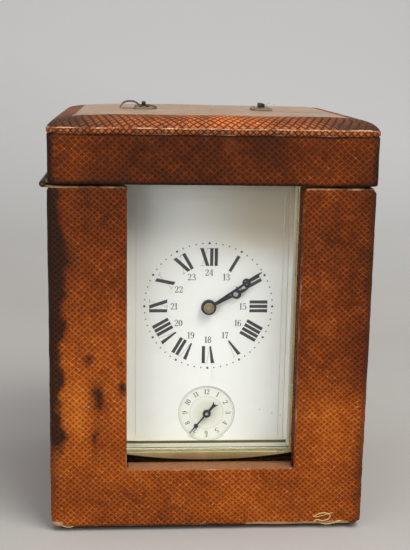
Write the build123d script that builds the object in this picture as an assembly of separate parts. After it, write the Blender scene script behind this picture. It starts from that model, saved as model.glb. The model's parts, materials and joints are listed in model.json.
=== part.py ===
from build123d import *
import math
import os

os.makedirs("parts", exist_ok=True)

# Officer's carriage clock with alarm, standing in its leather travelling case.
# Millimetres. +Z up, front faces -Y, origin at the middle of the underside.

# ---------------------------------------------------------------- driving sizes
CASE_W, CASE_D = 110.0, 94.0          # leather box, outside
BODY_Z0, BODY_Z1 = 1.2, 123.0         # leather body, bottom and rim
SKIN = 0.8                            # leather thickness
LID_OVER = 0.6                        # lid stands proud of the body all round
LID_Z0, LID_SEAM, LID_EDGE, LID_TOP = 123.6, 140.3, 142.5, 146.6
LID_INSET = 8.6                       # width of the pillowed border of the lid
CORNER_R = 2.4
WALL_X, WALL_BACK = 49.0, 41.0        # inside faces of the box
FRONT_IN = -39.8                      # inside face of the front wall
FLOOR_IN = 6.2
WIN_X0, WIN_X1, WIN_Z = -28.8, 30.7, 22.9   # front window, open at the top
GROOVE_Y0, GROOVE_Y1, GROOVE_DEEP = -44.2, -41.8, 2.6  # shutter groove
HINGE_X, HINGE_Z, KNUCKLE_R, PIN_R = -57.0, 123.3, 1.15, 0.5
HINGE_Y = 43.0
CATCH_Z, CATCH_REACH = 110.0, 17.5    # swing hook on the right side
PROUD = 58.15                         # furthest reach of hinge and catch

CLK_Z0 = 7.2                          # clock stands on the floor pad
CLK_CY = -4.0                         # middle of the clock, front to back
BASE_HW, BASE_Y0, BASE_Y1 = 40.0, -39.0, 31.0
FRAME_HW, FRAME_Y0, FRAME_Y1 = 37.6, -38.2, 29.4
DECK_Z0, DECK_Z = 23.4, 26.4          # deck of the base, carries pillars and plates
PIL = 7.6                             # pillar square
TOP_Z0, TOP_Z1 = 124.8, 136.0
GLASS_HW, BEVEL = 30.0, 4.3
FG_Y0, FG_Y1 = -37.2, -34.4           # front glass
DIAL_Y, DIAL_T = -30.6, 1.8
CX, CZ = 0.2, 78.5                    # centre of the hands
ACX, ACZ = 0.2, 38.45                 # centre of the alarm dial
ALARM_R = 10.2
BAIL_Y, BAIL_Z = -4.0, 138.4
FP_Y0, FP_Y1 = -23.5, -21.5           # front plate of the movement
BP_Y0, BP_Y1 = 9.5, 11.5              # back plate
PLATE_HW, PLATE_Z1 = 27.0, 104.0
HOUR_DEG, MINUTE_DEG, ALARM_DEG = 63.5, 55.0, 219.5   # hands, clockwise from 12


def bx(x0, x1, y0, y1, z0, z1):
    return Pos((x0 + x1) / 2, (y0 + y1) / 2, (z0 + z1) / 2) * Box(x1 - x0, y1 - y0, z1 - z0)


def slab(face, y0, y1):
    """A flat shape drawn in X and Z, from y0 to y1."""
    return extrude(Plane(origin=(0, y1, 0), x_dir=(1, 0, 0), z_dir=(0, -1, 0)) * face, y1 - y0)


def side(face, x0, x1):
    """A flat shape drawn in Y and Z, from x0 to x1."""
    return extrude(Plane(origin=(x0, 0, 0), x_dir=(0, 1, 0), z_dir=(1, 0, 0)) * face, x1 - x0)


def cy(x, z, r, y0, y1):
    return slab(Pos(x, z) * Circle(r), y0, y1)


def cz(x, y, r, z0, z1):
    return Pos(x, y, (z0 + z1) / 2) * Cylinder(r, z1 - z0)


def cxx(y, z, r, x0, x1):
    return side(Pos(y, z) * Circle(r), x0, x1)


def rrect(hx, hy, r, z, cx=0.0, cy0=0.0):
    return Pos(cx, cy0, z) * RectangleRounded(2 * hx, 2 * hy, r)


def ring(ro, ri):
    return Circle(ro) - Circle(ri)


def poly(points):
    return make_face(Polyline(*[(float(a), float(b)) for a, b in points], close=True))


def gear_points(n, m, phase=0.0, thick=0.40, add=0.85, ded=1.1, tip=0.16):
    """Outline of a clock wheel. Angle runs from +X towards +Z; a tooth is centred on phase (radians)."""
    r, p = m * n / 2, 2 * math.pi / n
    out = []
    for k in range(n):
        a = phase + k * p
        for f, rr in ((-0.5 * thick - 0.07, r - ded * m), (-0.5 * thick, r), (-0.5 * tip, r + add * m),
                      (0.5 * tip, r + add * m), (0.5 * thick, r), (0.5 * thick + 0.07, r - ded * m)):
            out.append((rr * math.cos(a + f * p), rr * math.sin(a + f * p)))
    return out


def mesh_phase(n_a, phase_a, n_b, direction):
    """Phase of wheel b so that it meshes with wheel a, b lying at that direction from a."""
    pa, pb = 2 * math.pi / n_a, 2 * math.pi / n_b
    u = (phase_a - direction) / pa
    return direction + math.pi + pb * (0.5 - u)


def wheel(n, m, phase, x, z, y0, y1, spokes=4, rim=1.3, hub=2.0, bore=0.0, **kw):
    """A crossed-out wheel."""
    face = poly(gear_points(n, m, phase, **kw))
    r_in = m * n / 2 - 1.1 * m - rim
    if spokes and r_in > hub + 1.2:
        cut = ring(r_in, hub)
        for k in range(spokes):
            cut -= Rot(0, 0, 360 / spokes * k + math.degrees(phase)) * Pos(r_in / 2, 0) * Rectangle(r_in * 1.1, 1.3)
        face -= cut
    if bore:
        face -= Circle(bore)
    return slab(Pos(x, z) * face, y0, y1)


NODES = {}


def node(name, shape, colour=None):
    NODES[name] = shape


# ================================================================ travelling case: body
node("base_felt", bx(-53, 53, -45, 45, 0, BODY_Z0))

outer = extrude(rrect(CASE_W / 2, CASE_D / 2, CORNER_R, BODY_Z0), BODY_Z1 - BODY_Z0)
outer = fillet(outer.edges().filter_by(lambda e: abs(e.center().Z - BODY_Z0) < 0.01), 0.7)
core = bx(-CASE_W / 2 + SKIN, CASE_W / 2 - SKIN, -CASE_D / 2 + SKIN, CASE_D / 2 - SKIN, BODY_Z0 + SKIN, BODY_Z1 - SKIN)
core = fillet(core.edges().filter_by(Axis.Z), CORNER_R - SKIN)
cavity = bx(-WALL_X, WALL_X, FRONT_IN, WALL_BACK, FLOOR_IN, 130)
win_leather = bx(WIN_X0, WIN_X1, -60, FRONT_IN + 0.5, WIN_Z, 130)
win_wood = bx(WIN_X0 - SKIN, WIN_X1 + SKIN, -60, FRONT_IN + 0.5, WIN_Z - SKIN, 130)
groove = bx(WIN_X0 - GROOVE_DEEP, WIN_X0 + 1, GROOVE_Y0, GROOVE_Y1, WIN_Z, 130) + bx(
    WIN_X1 - 1, WIN_X1 + GROOVE_DEEP, GROOVE_Y0, GROOVE_Y1, WIN_Z, 130)
hinge_pocket = bx(-60, -50.8, -HINGE_Y - 0.3, HINGE_Y + 0.3, BODY_Z1 - SKIN, 130)


def corner_cut(x, z, r, sign):
    """Rounds the top inner corner of a front rail."""
    a = slab(Pos(x - sign * r / 2, z - r / 2) * Rectangle(r, r), -60, FRONT_IN)
    return a - cy(x - sign * r, z - r, r, -61, FRONT_IN + 1)


round_l = corner_cut(WIN_X0, BODY_Z1, 1.6, 1)
round_r = corner_cut(WIN_X1, BODY_Z1, 1.6, -1)
wood = core - cavity - win_wood - groove
wood -= corner_cut(WIN_X0 - SKIN, BODY_Z1 - SKIN, 1.2, 1) + corner_cut(WIN_X1 + SKIN, BODY_Z1 - SKIN, 1.2, -1)
node("case_carcass", wood)
leather = outer - (core - win_wood) - cavity - win_leather - groove - round_l - round_r - hinge_pocket
leather -= bx(-29.6, 31.5, FRONT_IN, FRONT_IN + 0.6, 20, 130)
node("case_leather", leather)

# velvet-covered packing round the clock
node("floor_pad", bx(-40.2, 40.2, -39.6, 31.2, FLOOR_IN, CLK_Z0))
node("side_pad_left", fillet(bx(-WALL_X, -40.3, -39.4, 40.7, FLOOR_IN, 121.4).edges().filter_by(Axis.Y), 1.0))
node("side_pad_right", fillet(bx(40.3, WALL_X, -39.4, 40.7, FLOOR_IN, 121.4).edges().filter_by(Axis.Y), 1.0))
node("back_pad", fillet(bx(-40.0, 40.0, 31.3, WALL_BACK, FLOOR_IN, 121.4).edges().filter_by(Axis.X), 1.0))

# ================================================================ travelling case: lid
LHX, LHY = CASE_W / 2 + LID_OVER, CASE_D / 2 + LID_OVER


def lid_solid(off, z0):
    """Lid block with its pillowed top, every face moved in by off."""
    hx, hy = LHX - off, LHY - off
    body = extrude(rrect(hx, hy, CORNER_R - 0.6 * off, z0), LID_EDGE - off * 0.4 - z0)
    secs = [(LID_EDGE - off * 0.4, 0.0), (LID_EDGE + 1.7 - off * 0.7, 1.5), (LID_EDGE + 3.2 - off, 4.4), (LID_TOP - off, LID_INSET)]
    faces = [rrect(hx - i, hy - i, CORNER_R - 0.6 * off + i * 0.35, z) for z, i in secs]
    return body + loft(faces, ruled=True)


lid_out = lid_solid(0.0, LID_Z0)
lip = extrude(rrect(LHX + 0.3, LHY + 0.3, CORNER_R, LID_SEAM), LID_EDGE - LID_SEAM)
lip = fillet(lip.edges().filter_by(lambda e: e.center().Z > LID_SEAM - 0.01 and abs(e.center().Z - (LID_SEAM + LID_EDGE) / 2) > 0.9), 0.28)
lid_out = lid_out + lip
lid_core = lid_solid(SKIN, LID_Z0 + SKIN)
LCX, LCY, LID_IN = 49.6, 41.6, 142.0
lid_cavity = bx(-LCX, LCX, -LCY, LCY, 120, LID_IN)
lid_pocket = bx(-60, -50.8, -HINGE_Y - 0.3, HINGE_Y + 0.3, 120, LID_Z0 + SKIN)
node("lid_leather", lid_out - lid_core - bx(-LCX, LCX, -LCY, LCY, 120, LID_Z0 + 2) - lid_pocket)
node("lid_carcass", lid_core - lid_cavity)
node("lid_lining", bx(-LCX, LCX, -LCY, LCY, 125.0, LID_IN) - bx(-LCX + 1, LCX - 1, -LCY + 1, LCY - 1, 120, LID_IN - 1))

# remains of the carrying strap on the lid: two brass staples, and a torn leather end on the left
LP = LID_TOP


def staple(x0, y0=1.0):
    plate = bx(x0 - 3.6, x0 + 3.6, y0 - 6.5, y0 + 6.5, LP, LP + 0.6)
    plate = fillet(plate.edges().filter_by(Axis.Z), 1.4)
    for k in (-1, 1):
        plate += bx(x0 - 0.7, x0 + 0.7, y0 + k * 5.0 - 0.7, y0 + k * 5.0 + 0.7, LP + 0.3, LP + 1.5)
        for j in (-1, 1):
            plate += cz(x0 + j * 2.4, y0 + k * 4.9, 0.75, LP + 0.3, LP + 0.95)
    return plate + bx(x0 - 0.7, x0 + 0.7, y0 - 5.7, y0 + 5.7, LP + 1.5, LP + 2.4)


node("strap_staple_left", staple(-23.0))
node("strap_staple_right", staple(21.0))
# torn strap end: lies through the left staple, under its bridge, and curls up on its outer side
stub = [(-31.4, LP + 0.1), (-30.6, LP + 1.6), (-28.4, LP + 2.3), (-26.0, LP + 2.0), (-24.6, LP + 0.85), (-21.0, LP + 0.85), (-19.6, LP + 0.7), (-18.2, LP + 0.1),
        (-18.0, LP + 0.55), (-19.4, LP + 1.25), (-21.0, LP + 1.4), (-24.3, LP + 1.4), (-25.8, LP + 2.6), (-28.4, LP + 2.95), (-31.0, LP + 2.15), (-31.9, LP + 0.4)]
node("strap_stub", slab(poly(stub), -2.4, 4.4))

# ================================================================ hinge along the left side
seg = 2 * HINGE_Y / 7


def hinge_leaf(segments, other, z0, z1):
    leaf = bx(HINGE_X + 0.2, -51.0, -HINGE_Y, HINGE_Y, z0, z1)
    for k in segments:
        leaf += cy(HINGE_X, HINGE_Z, KNUCKLE_R, -HINGE_Y + k * seg + 0.1, -HINGE_Y + (k + 1) * seg - 0.1)
    for k in other:
        leaf -= cy(HINGE_X, HINGE_Z, KNUCKLE_R + 0.2, -HINGE_Y + k * seg - 0.1, -HINGE_Y + (k + 1) * seg + 0.1)
    return leaf - cy(HINGE_X, HINGE_Z, PIN_R + 0.05, -HINGE_Y - 1, HINGE_Y + 1)


node("hinge_leaf_body", hinge_leaf((0, 2, 4, 6), (1, 3, 5), BODY_Z1 - SKIN, BODY_Z1 - 0.1))
node("hinge_leaf_lid", hinge_leaf((1, 3, 5), (0, 2, 4, 6), LID_Z0 + 0.1, LID_Z0 + SKIN))
node("hinge_pin", cy(HINGE_X, HINGE_Z, PIN_R, -HINGE_Y - 0.25, HINGE_Y + 0.25))

# ================================================================ swing catch on the right side
RX = CASE_W / 2
pivot = bx(RX, RX + 0.7, -5, 5, CATCH_Z - 5, CATCH_Z + 5)
pivot = fillet(pivot.edges().filter_by(Axis.X), 2.0)
pivot += cxx(0, CATCH_Z, 1.0, RX, RX + 2.1) + cxx(0, CATCH_Z, 2.0, RX + 2.1, RX + 2.75)
node("catch_pivot", pivot)
arm = Pos(0, CATCH_Z) * (Circle(2.6) + Pos(0, -CATCH_REACH / 2) * Rectangle(2.6, CATCH_REACH) + Pos(0, -CATCH_REACH) * Circle(3.1))
arm += Pos(0, CATCH_Z) * Pos(-2.4, -CATCH_REACH - 2.6) * Circle(1.2)
arm -= Pos(0, CATCH_Z) * (Circle(1.15) + Pos(0, -CATCH_REACH) * Circle(1.2) + Pos(2.4, -CATCH_REACH) * Rectangle(4.8, 2.4))
node("catch_hook", side(arm, RX + 1.1, RX + 1.95))
stud_z = CATCH_Z + CATCH_REACH
sx = LHX
node("catch_stud", fillet(bx(sx, sx + 0.35, -3, 3, stud_z - 3, stud_z + 3).edges().filter_by(Axis.X), 1.5)
     + cxx(0, stud_z, 0.85, sx, RX + 2.35) + cxx(0, stud_z, 1.9, RX + 2.25, PROUD))

# ================================================================ clock case: base, pillars, top
base = bx(-BASE_HW, BASE_HW, BASE_Y0, BASE_Y1, CLK_Z0, 10.6)
base = chamfer(base.edges().filter_by(lambda e: abs(e.center().Z - 10.6) < 0.01), 0.9)
mid = bx(-FRAME_HW + 0.2, FRAME_HW - 0.2, FRAME_Y0 + 1.6, FRAME_Y1, 10.0, DECK_Z)
cove = loft([rrect(39.0, 33.9, 0.4, 10.6, 0, CLK_CY), rrect(37.6, 32.5, 0.4, 15.6, 0, CLK_CY - 0.0)], ruled=True)
base = base + mid + (cove - bx(-60, 60, -60, FRAME_Y0 + 1.6, 10.6, 40))
base -= bx(-33, 33, -33, 25, 0, DECK_Z0)
base -= bx(17.5, 26.5, -7.5, -2.5, DECK_Z0 - 1, DECK_Z + 1)        # slot for the alarm hammer
base -= cz(0, CLK_CY, 1.6, DECK_Z0 - 1, DECK_Z + 1)                # bell stud
node("clock_base", base)
# gilt moulding under the front glass, its lower edge bowed
sill = make_face(Polyline((37.4, 24.9), (37.4, DECK_Z), (-37.4, DECK_Z), (-37.4, 24.9)) + ThreePointArc((-37.4, 24.9), (0, 23.3), (37.4, 24.9)))
node("front_sill", slab(sill, BASE_Y0 - 0.2, FRAME_Y0 + 1.6))

pillars = []
for px in (-1, 1):
    for y0 in (FRAME_Y0, FRAME_Y1 - PIL):
        xa, xb = sorted((px * (FRAME_HW - PIL), px * FRAME_HW))
        p = bx(xa, xb, y0, y0 + PIL, DECK_Z, TOP_Z0)
        p = chamfer(p.edges().filter_by(Axis.Z), 0.5)
        for k in (-1.7, 0, 1.7):   # fluting on the outer side faces
            p -= Pos(px * (FRAME_HW + 0.25), y0 + PIL / 2 + k, 0) * cz(0, 0, 0.6, DECK_Z + 4, TOP_Z0 - 4)
        pillars.append(p)
pil = pillars[0] + pillars[1] + pillars[2] + pillars[3]
pil -= bx(-GLASS_HW - 1.3, GLASS_HW + 1.3, FG_Y0 - 0.05, FG_Y1 + 0.05, 0, 200)
for s in (-1, 1):
    xa, xb = sorted((s * 33.15, s * 36.05))
    pil -= bx(xa, xb, FRAME_Y0 + PIL - 1.3, FRAME_Y1 - PIL + 1.3, 0, 200)
node("corner_pillars", pil)


def bevelled(hx, hz, t, bev, drop):
    """A bevelled glass, front face at 0 and back at t, drawn in X and Z."""
    a = Rectangle(2 * hx, 2 * hz)
    b = Rectangle(2 * (hx - bev), 2 * (hz - bev))
    lower = extrude(a, t - drop)
    upper = loft([Pos(0, 0, t - drop) * a, Pos(0, 0, t) * b], ruled=True)
    return lower + upper


fg_hz = (TOP_Z0 - DECK_Z) / 2 - 0.05
fg = bevelled(GLASS_HW + 1.2, fg_hz, FG_Y1 - FG_Y0, BEVEL + 1.2, 1.1)
fg = Plane(origin=(0, FG_Y1, (TOP_Z0 + DECK_Z) / 2), x_dir=(1, 0, 0), z_dir=(0, -1, 0)) * fg
node("front_glass", fg)
sg = None
SG_Y0, SG_Y1 = FRAME_Y0 + PIL - 1.2, FRAME_Y1 - PIL + 1.2
for s in (-1, 1):
    g = bevelled((SG_Y1 - SG_Y0) / 2, fg_hz, 2.8, 4.0, 1.0)
    g = Plane(origin=(s * 33.2, (SG_Y0 + SG_Y1) / 2, (TOP_Z0 + DECK_Z) / 2), x_dir=(0, s, 0), z_dir=(s, 0, 0)) * g
    sg = g if sg is None else sg + g
node("side_glasses", sg)

top = bx(-FRAME_HW - 0.2, FRAME_HW + 0.2, FRAME_Y0 - 0.1, FRAME_Y1 + 0.1, TOP_Z0, 128.4)
top += loft([rrect(37.9, 33.9, 0.4, 128.4, 0, -4.4), rrect(40.0, 35.4, 0.4, 131.2, 0, -4.0)], ruled=True)
top += extrude(rrect(BASE_HW, 35.4, 0.4, 131.2, 0, -4.0), 2.3)
top += loft([rrect(BASE_HW - 0.3, 35.1, 0.4, 133.5, 0, -4.0), rrect(37.4, 32.6, 0.4, TOP_Z1, 0, -4.0)], ruled=True)
top -= bx(-24, 24, -21, 13, 120, 140)
top -= bx(-26.1, 26.1, -23.1, 15.1, 133.0, 140)
top -= bx(-34, 34, -34, 26, 120, 130.2) - bx(-28, 28, -25, 17, 120, 131)  # hollow underside outside the glass well
node("clock_top", top)
tg = bevelled(26.0, 19.0, 2.8, 4.0, 1.0)
node("top_glass", Plane(origin=(0, -4.0, 133.0), x_dir=(1, 0, 0), z_dir=(0, 0, 1)) * tg)

# rear door, shut; its knob and hinge pins
door = bx(-29.8, 29.8, 24.2, 28.2, DECK_Z + 0.2, TOP_Z0 - 0.2) - bx(-24.0, 24.0, 20, 30, DECK_Z + 6, TOP_Z0 - 6)
door -= bx(-25.6, 25.6, 24.7, 27.7, DECK_Z + 4.4, TOP_Z0 - 4.4)
node("rear_door_frame", door + cy(-26.9, 75.6, 1.2, 28.2, 29.4) + cy(-26.9, 75.6, 2.1, 29.4, 30.8))
rg = bevelled(25.5, (TOP_Z0 - DECK_Z) / 2 - 4.5, 2.8, 4.0, 1.0)
node("rear_door_glass", Plane(origin=(0, 24.8, (TOP_Z0 + DECK_Z) / 2), x_dir=(-1, 0, 0), z_dir=(0, 1, 0)) * rg)

# bail handle folded back on the top, its posts and pivot screws
node("bail_posts", fillet(bx(30.6, 34.0, BAIL_Y - 2.1, BAIL_Y + 2.1, 135.2, 140.3).edges().filter_by(Axis.X), 0.8)
     + fillet(bx(-34.0, -30.6, BAIL_Y - 2.1, BAIL_Y + 2.1, 135.2, 140.3).edges().filter_by(Axis.X), 0.8)
     - bx(-60, 60, -60, 60, 130, 136.0) - cxx(BAIL_Y, BAIL_Z, 0.9, -40, 40))
bp = FilletPolyline((-35.9, BAIL_Y, BAIL_Z), (-35.9, 19.0, BAIL_Z), (-33.0, 23.0, BAIL_Z), (33.0, 23.0, BAIL_Z), (35.9, 19.0, BAIL_Z), (35.9, BAIL_Y, BAIL_Z), radius=2.6)
bail = sweep(Plane(bp @ 0, z_dir=bp % 0) * Circle(1.45), bp)
bail += cxx(BAIL_Y, BAIL_Z, 2.0, -37.4, -34.3) + cxx(BAIL_Y, BAIL_Z, 2.0, 34.3, 37.4)
bail += cxx(23.0, BAIL_Z, 1.75, -14, 14) + cxx(23.0, BAIL_Z, 2.0, -16.5, -14) + cxx(23.0, BAIL_Z, 2.0, 14, 16.5)
bail -= cxx(BAIL_Y, BAIL_Z, 0.95, -40, 40)
node("bail_handle", bail)
node("bail_pivots", (cxx(BAIL_Y, BAIL_Z, 0.9, 30.6, 37.5) + cxx(BAIL_Y, BAIL_Z, 1.6, 37.55, 38.4) + cxx(BAIL_Y, BAIL_Z, 0.9, 37.4, 37.6))
     + (cxx(BAIL_Y, BAIL_Z, 0.9, -37.5, -30.6) + cxx(BAIL_Y, BAIL_Z, 1.6, -38.4, -37.55) + cxx(BAIL_Y, BAIL_Z, 0.9, -37.6, -37.4)))

# ================================================================ dial and hands
dial = bx(-31.8, 31.8, DIAL_Y, DIAL_Y + DIAL_T, DECK_Z + 0.3, TOP_Z0 - 0.3)
dial -= cy(CX, CZ, 2.5, -40, -20) + cy(ACX, ACZ, 1.0, -40, -20) + cy(ACX, ACZ, ALARM_R, -40, DIAL_Y + 0.35)
feet = None
for fx, fz in ((-24, 98), (24, 98), (-24, 32), (24, 32)):
    f = cy(fx, fz, 1.1, DIAL_Y + DIAL_T, FP_Y0)
    feet = f if feet is None else feet + f
node("dial_plate", dial + feet)


def breguet(length, r_moon, moon_r, boss, bore, shaft_w, blade_w, tip_w):
    """A moon-pierced hand pointing up, from its centre."""
    f = Circle(boss)
    f += poly([(-shaft_w * 0.62, 0), (shaft_w * 0.62, 0), (shaft_w / 2, r_moon - moon_r * 0.8), (-shaft_w / 2, r_moon - moon_r * 0.8)])
    f += Pos(0, r_moon) * Circle(moon_r)
    b0 = r_moon + moon_r * 0.75
    f += poly([(-blade_w / 2, b0), (blade_w / 2, b0), (blade_w * 0.42, b0 + (length - b0) * 0.55), (tip_w / 2, length), (-tip_w / 2, length), (-blade_w * 0.42, b0 + (length - b0) * 0.55)])
    f -= Circle(bore)
    f -= Pos(0, r_moon - moon_r * 0.12) * Circle(moon_r * 0.5)
    return f


hour = Rot(0, 0, -HOUR_DEG) * breguet(15.4, 10.9, 1.8, 2.75, 1.9, 0.95, 1.25, 0.3)
node("hour_hand", slab(Pos(CX, CZ) * hour, -32.2, -31.8))
minute = Rot(0, 0, -MINUTE_DEG) * breguet(22.6, 16.1, 1.5, 2.6, 1.2, 0.75, 1.1, 0.25)
node("minute_hand", slab(Pos(CX, CZ) * minute, -33.2, -32.8))
nut = Pos(CX, CZ) * Circle(1.85)
nut_s = slab(nut, -33.85, -33.2)
node("hand_nut", fillet(nut_s.edges().filter_by(lambda e: e.center().Y < -33.8), 0.25) - cy(CX, CZ, 0.63, -35, -33))
ah = Circle(1.5) + poly([(-0.3, 0), (0.3, 0), (0.22, 5.4), (-0.22, 5.4)]) + poly([(-0.22, 5.2), (0.22, 5.2), (0.95, 5.9), (0.2, 7.2), (0.1, 9.6), (-0.1, 9.6), (-0.2, 7.2), (-0.95, 5.9)])
ah += poly([(-0.3, 0), (0.3, 0), (0.5, -3.6), (1.05, -5.1), (0.2, -4.5), (-0.2, -4.5), (-1.05, -5.1), (-0.5, -3.6)])
ah -= Circle(0.6)
node("alarm_hand", slab(Pos(ACX, ACZ) * (Rot(0, 0, -ALARM_DEG) * ah), -31.75, -31.35))

# ================================================================ movement
plate_f = bx(-PLATE_HW, PLATE_HW, FP_Y0, FP_Y1, DECK_Z, PLATE_Z1)
plate_b = bx(-PLATE_HW, PLATE_HW, BP_Y0, BP_Y1, DECK_Z, PLATE_Z1)
PPOS = ((-16, 29.6), (16, 29.6), (-22, 98.5), (22, 98.5))
pp = None
for x, z in PPOS:
    p = cy(x, z, 2.6, FP_Y1, BP_Y0) + cy(x, z, 1.2, FP_Y0, BP_Y1)
    plate_f -= cy(x, z, 1.2, -30, 0)
    plate_b -= cy(x, z, 1.2, 0, 20)
    pp = p if pp is None else pp + p
ps = None
for x, z in PPOS:
    s = cy(x, z, 2.0, BP_Y1, BP_Y1 + 1.4) - bx(x - 3, x + 3, BP_Y1 + 0.9, BP_Y1 + 2, z - 0.25, z + 0.25)
    ps = s if ps is None else ps + s
node("plate_pillars", Compound(children=list(pp.solids()) + list((ps - pp).solids())))

C = (CX, CZ)
BAR = (CX - 11.0, CZ - 13.33)
THIRD = (CX + 6.5, CZ + 8.625)
CON = (CX, THIRD[1] + 6.48)
MW_DIR = math.radians(225)
MW = (CX + 7.2 * math.cos(MW_DIR), CZ + 7.2 * math.sin(MW_DIR))
ABAR = (11.5, 45.0)
AW = (11.5, 45.0 + 10.88)
HAM = (24.0, 60.0)
for x, z, r in ((C[0], C[1], 0.95), (BAR[0], BAR[1], 1.85), (THIRD[0], THIRD[1], 0.45), (CON[0], CON[1], 0.45), (ABAR[0], ABAR[1], 1.65), (AW[0], AW[1], 0.45), (ACX, ACZ, 0.95), (HAM[0], HAM[1], 0.55)):
    plate_f -= cy(x, z, r, -30, 0)
    plate_b -= cy(x, z, r, 0, 20)
plate_f += cy(MW[0], MW[1], 0.5, -28.2, FP_Y0)
node("front_plate", plate_f)
node("back_plate", plate_b)


def d(a, b):
    return math.atan2(b[1] - a[1], b[0] - a[0])


# going train: great wheel 84, centre pinion 12, centre wheel 64, third pinion 8, third wheel 60, contrate pinion 8
ph_cp = 0.1
ph_gw = mesh_phase(12, ph_cp, 84, d(C, BAR))
ph_cw = 0.0
ph_tp = mesh_phase(64, ph_cw, 8, d(C, THIRD))
ph_tw = 0.0
ph_kp = mesh_phase(60, ph_tw, 8, d(THIRD, CON))
PIN = dict(thick=0.34, tip=0.12, add=0.7, ded=1.15)
drum = cy(BAR[0], BAR[1], 14.2, -17.0, 2.5) - cy(BAR[0], BAR[1], 13.3, -16.2, 1.7)
drum += slab(Pos(*BAR) * (poly(gear_points(84, 0.36, ph_gw, thick=0.38)) - Circle(13.0)), 2.5, 4.0)
drum -= cy(BAR[0], BAR[1], 2.4, -20, 10)
node("time_barrel", drum)
warb = cy(BAR[0], BAR[1], 2.3, -17.6, 4.4) + cy(BAR[0], BAR[1], 1.8, FP_Y0, 12.2)
sq = slab(Pos(*BAR) * Rectangle(2.5, 2.5), 11.5, 21.0)
node("time_winding_arbor", warb + sq)
turns, r0, r1 = 7.0, 3.4, 12.6
N = int(turns * 20)
sp_o = [((r0 + (r1 - r0) * k / N + 0.16) * math.cos(k * 2 * math.pi / 20), (r0 + (r1 - r0) * k / N + 0.16) * math.sin(k * 2 * math.pi / 20)) for k in range(N + 1)]
sp_i = [((r0 + (r1 - r0) * k / N - 0.16) * math.cos(k * 2 * math.pi / 20), (r0 + (r1 - r0) * k / N - 0.16) * math.sin(k * 2 * math.pi / 20)) for k in range(N, -1, -1)]
node("time_mainspring", slab(Pos(*BAR) * poly(sp_o + sp_i), -15.6, 1.1))

carb = cy(C[0], C[1], 0.9, FP_Y0, 13.0) + cy(C[0], C[1], 0.6, -34.0, FP_Y0)
carb += slab(Pos(*C) * poly(gear_points(12, 0.36, ph_cp, **PIN)), 1.9, 4.6)
carb += wheel(64, 0.3, ph_cw, C[0], C[1], 5.6, 6.8, hub=2.2)
node("centre_wheel", carb)
third = cy(THIRD[0], THIRD[1], 0.75, FP_Y1 + 0.2, BP_Y0 - 0.2) + cy(THIRD[0], THIRD[1], 0.4, FP_Y0 + 0.2, BP_Y1 - 0.2)
third += slab(Pos(*THIRD) * poly(gear_points(8, 0.3, ph_tp, **PIN)), 5.0, 7.4)
third += wheel(60, 0.27, ph_tw, THIRD[0], THIRD[1], -4.0, -3.0, hub=1.8)
node("third_wheel", third)
con = cy(CON[0], CON[1], 0.6, FP_Y1 + 0.2, BP_Y0 - 0.2) + cy(CON[0], CON[1], 0.4, FP_Y0 + 0.2, BP_Y1 - 0.2)
con += slab(Pos(*CON) * poly(gear_points(8, 0.27, ph_kp, **PIN)), -5.2, -2.0)
con += cy(CON[0], CON[1], 8.1, -10.8, -10.0) - cy(CON[0], CON[1], 6.0, -12, -9) + cy(CON[0], CON[1], 1.8, -10.8, -10.0)
for k in range(4):
    con += slab(Pos(*CON) * (Rot(0, 0, 90 * k + 20) * (Pos(3.9, 0) * Rectangle(4.6, 1.2))), -10.8, -10.0)
crown = cy(CON[0], CON[1], 8.1, -11.5, -10.8) - cy(CON[0], CON[1], 7.3, -12, -10)
con += crown
n_c = 70
teeth_face = None
for k in range(n_c):
    a = math.radians(90) + (k + 0.5) * 2 * math.pi / n_c
    p = 2 * math.pi / n_c
    pts = [(7.35 * math.cos(a - 0.17 * p), 7.35 * math.sin(a - 0.17 * p)), (8.05 * math.cos(a - 0.17 * p), 8.05 * math.sin(a - 0.17 * p)),
           (8.05 * math.cos(a + 0.17 * p), 8.05 * math.sin(a + 0.17 * p)), (7.35 * math.cos(a + 0.17 * p), 7.35 * math.sin(a + 0.17 * p))]
    f = poly(pts)
    teeth_face = f if teeth_face is None else teeth_face + f
con += slab(Pos(*CON) * teeth_face, -12.0, -11.5)
node("contrate_wheel", con)

# motion work behind the dial
ph_can = 0.0
ph_mw = mesh_phase(12, ph_can, 36, MW_DIR)
ph_mp = 0.0
ph_hw = mesh_phase(10, ph_mp, 40, MW_DIR + math.pi)
can = cy(C[0], C[1], 1.2, -33.2, -23.9) + slab(Pos(*C) * poly(gear_points(12, 0.3, ph_can, **PIN)), -25.9, -24.3)
can -= cy(C[0], C[1], 0.65, -40, -20)
node("cannon_pinion", can)
mw = slab(Pos(*MW) * poly(gear_points(36, 0.3, ph_mw, thick=0.38)), -25.6, -24.6) + slab(Pos(*MW) * poly(gear_points(10, 0.288, ph_mp, **PIN)), -28.0, -25.6)
node("minute_wheel", mw - cy(MW[0], MW[1], 0.55, -40, -20))
hw = slab(Pos(*C) * poly(gear_points(40, 0.288, ph_hw, thick=0.38)), -27.8, -26.6) + cy(C[0], C[1], 1.9, -32.2, -26.6)
node("hour_wheel", hw - cy(C[0], C[1], 1.35, -40, -20))

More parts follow.
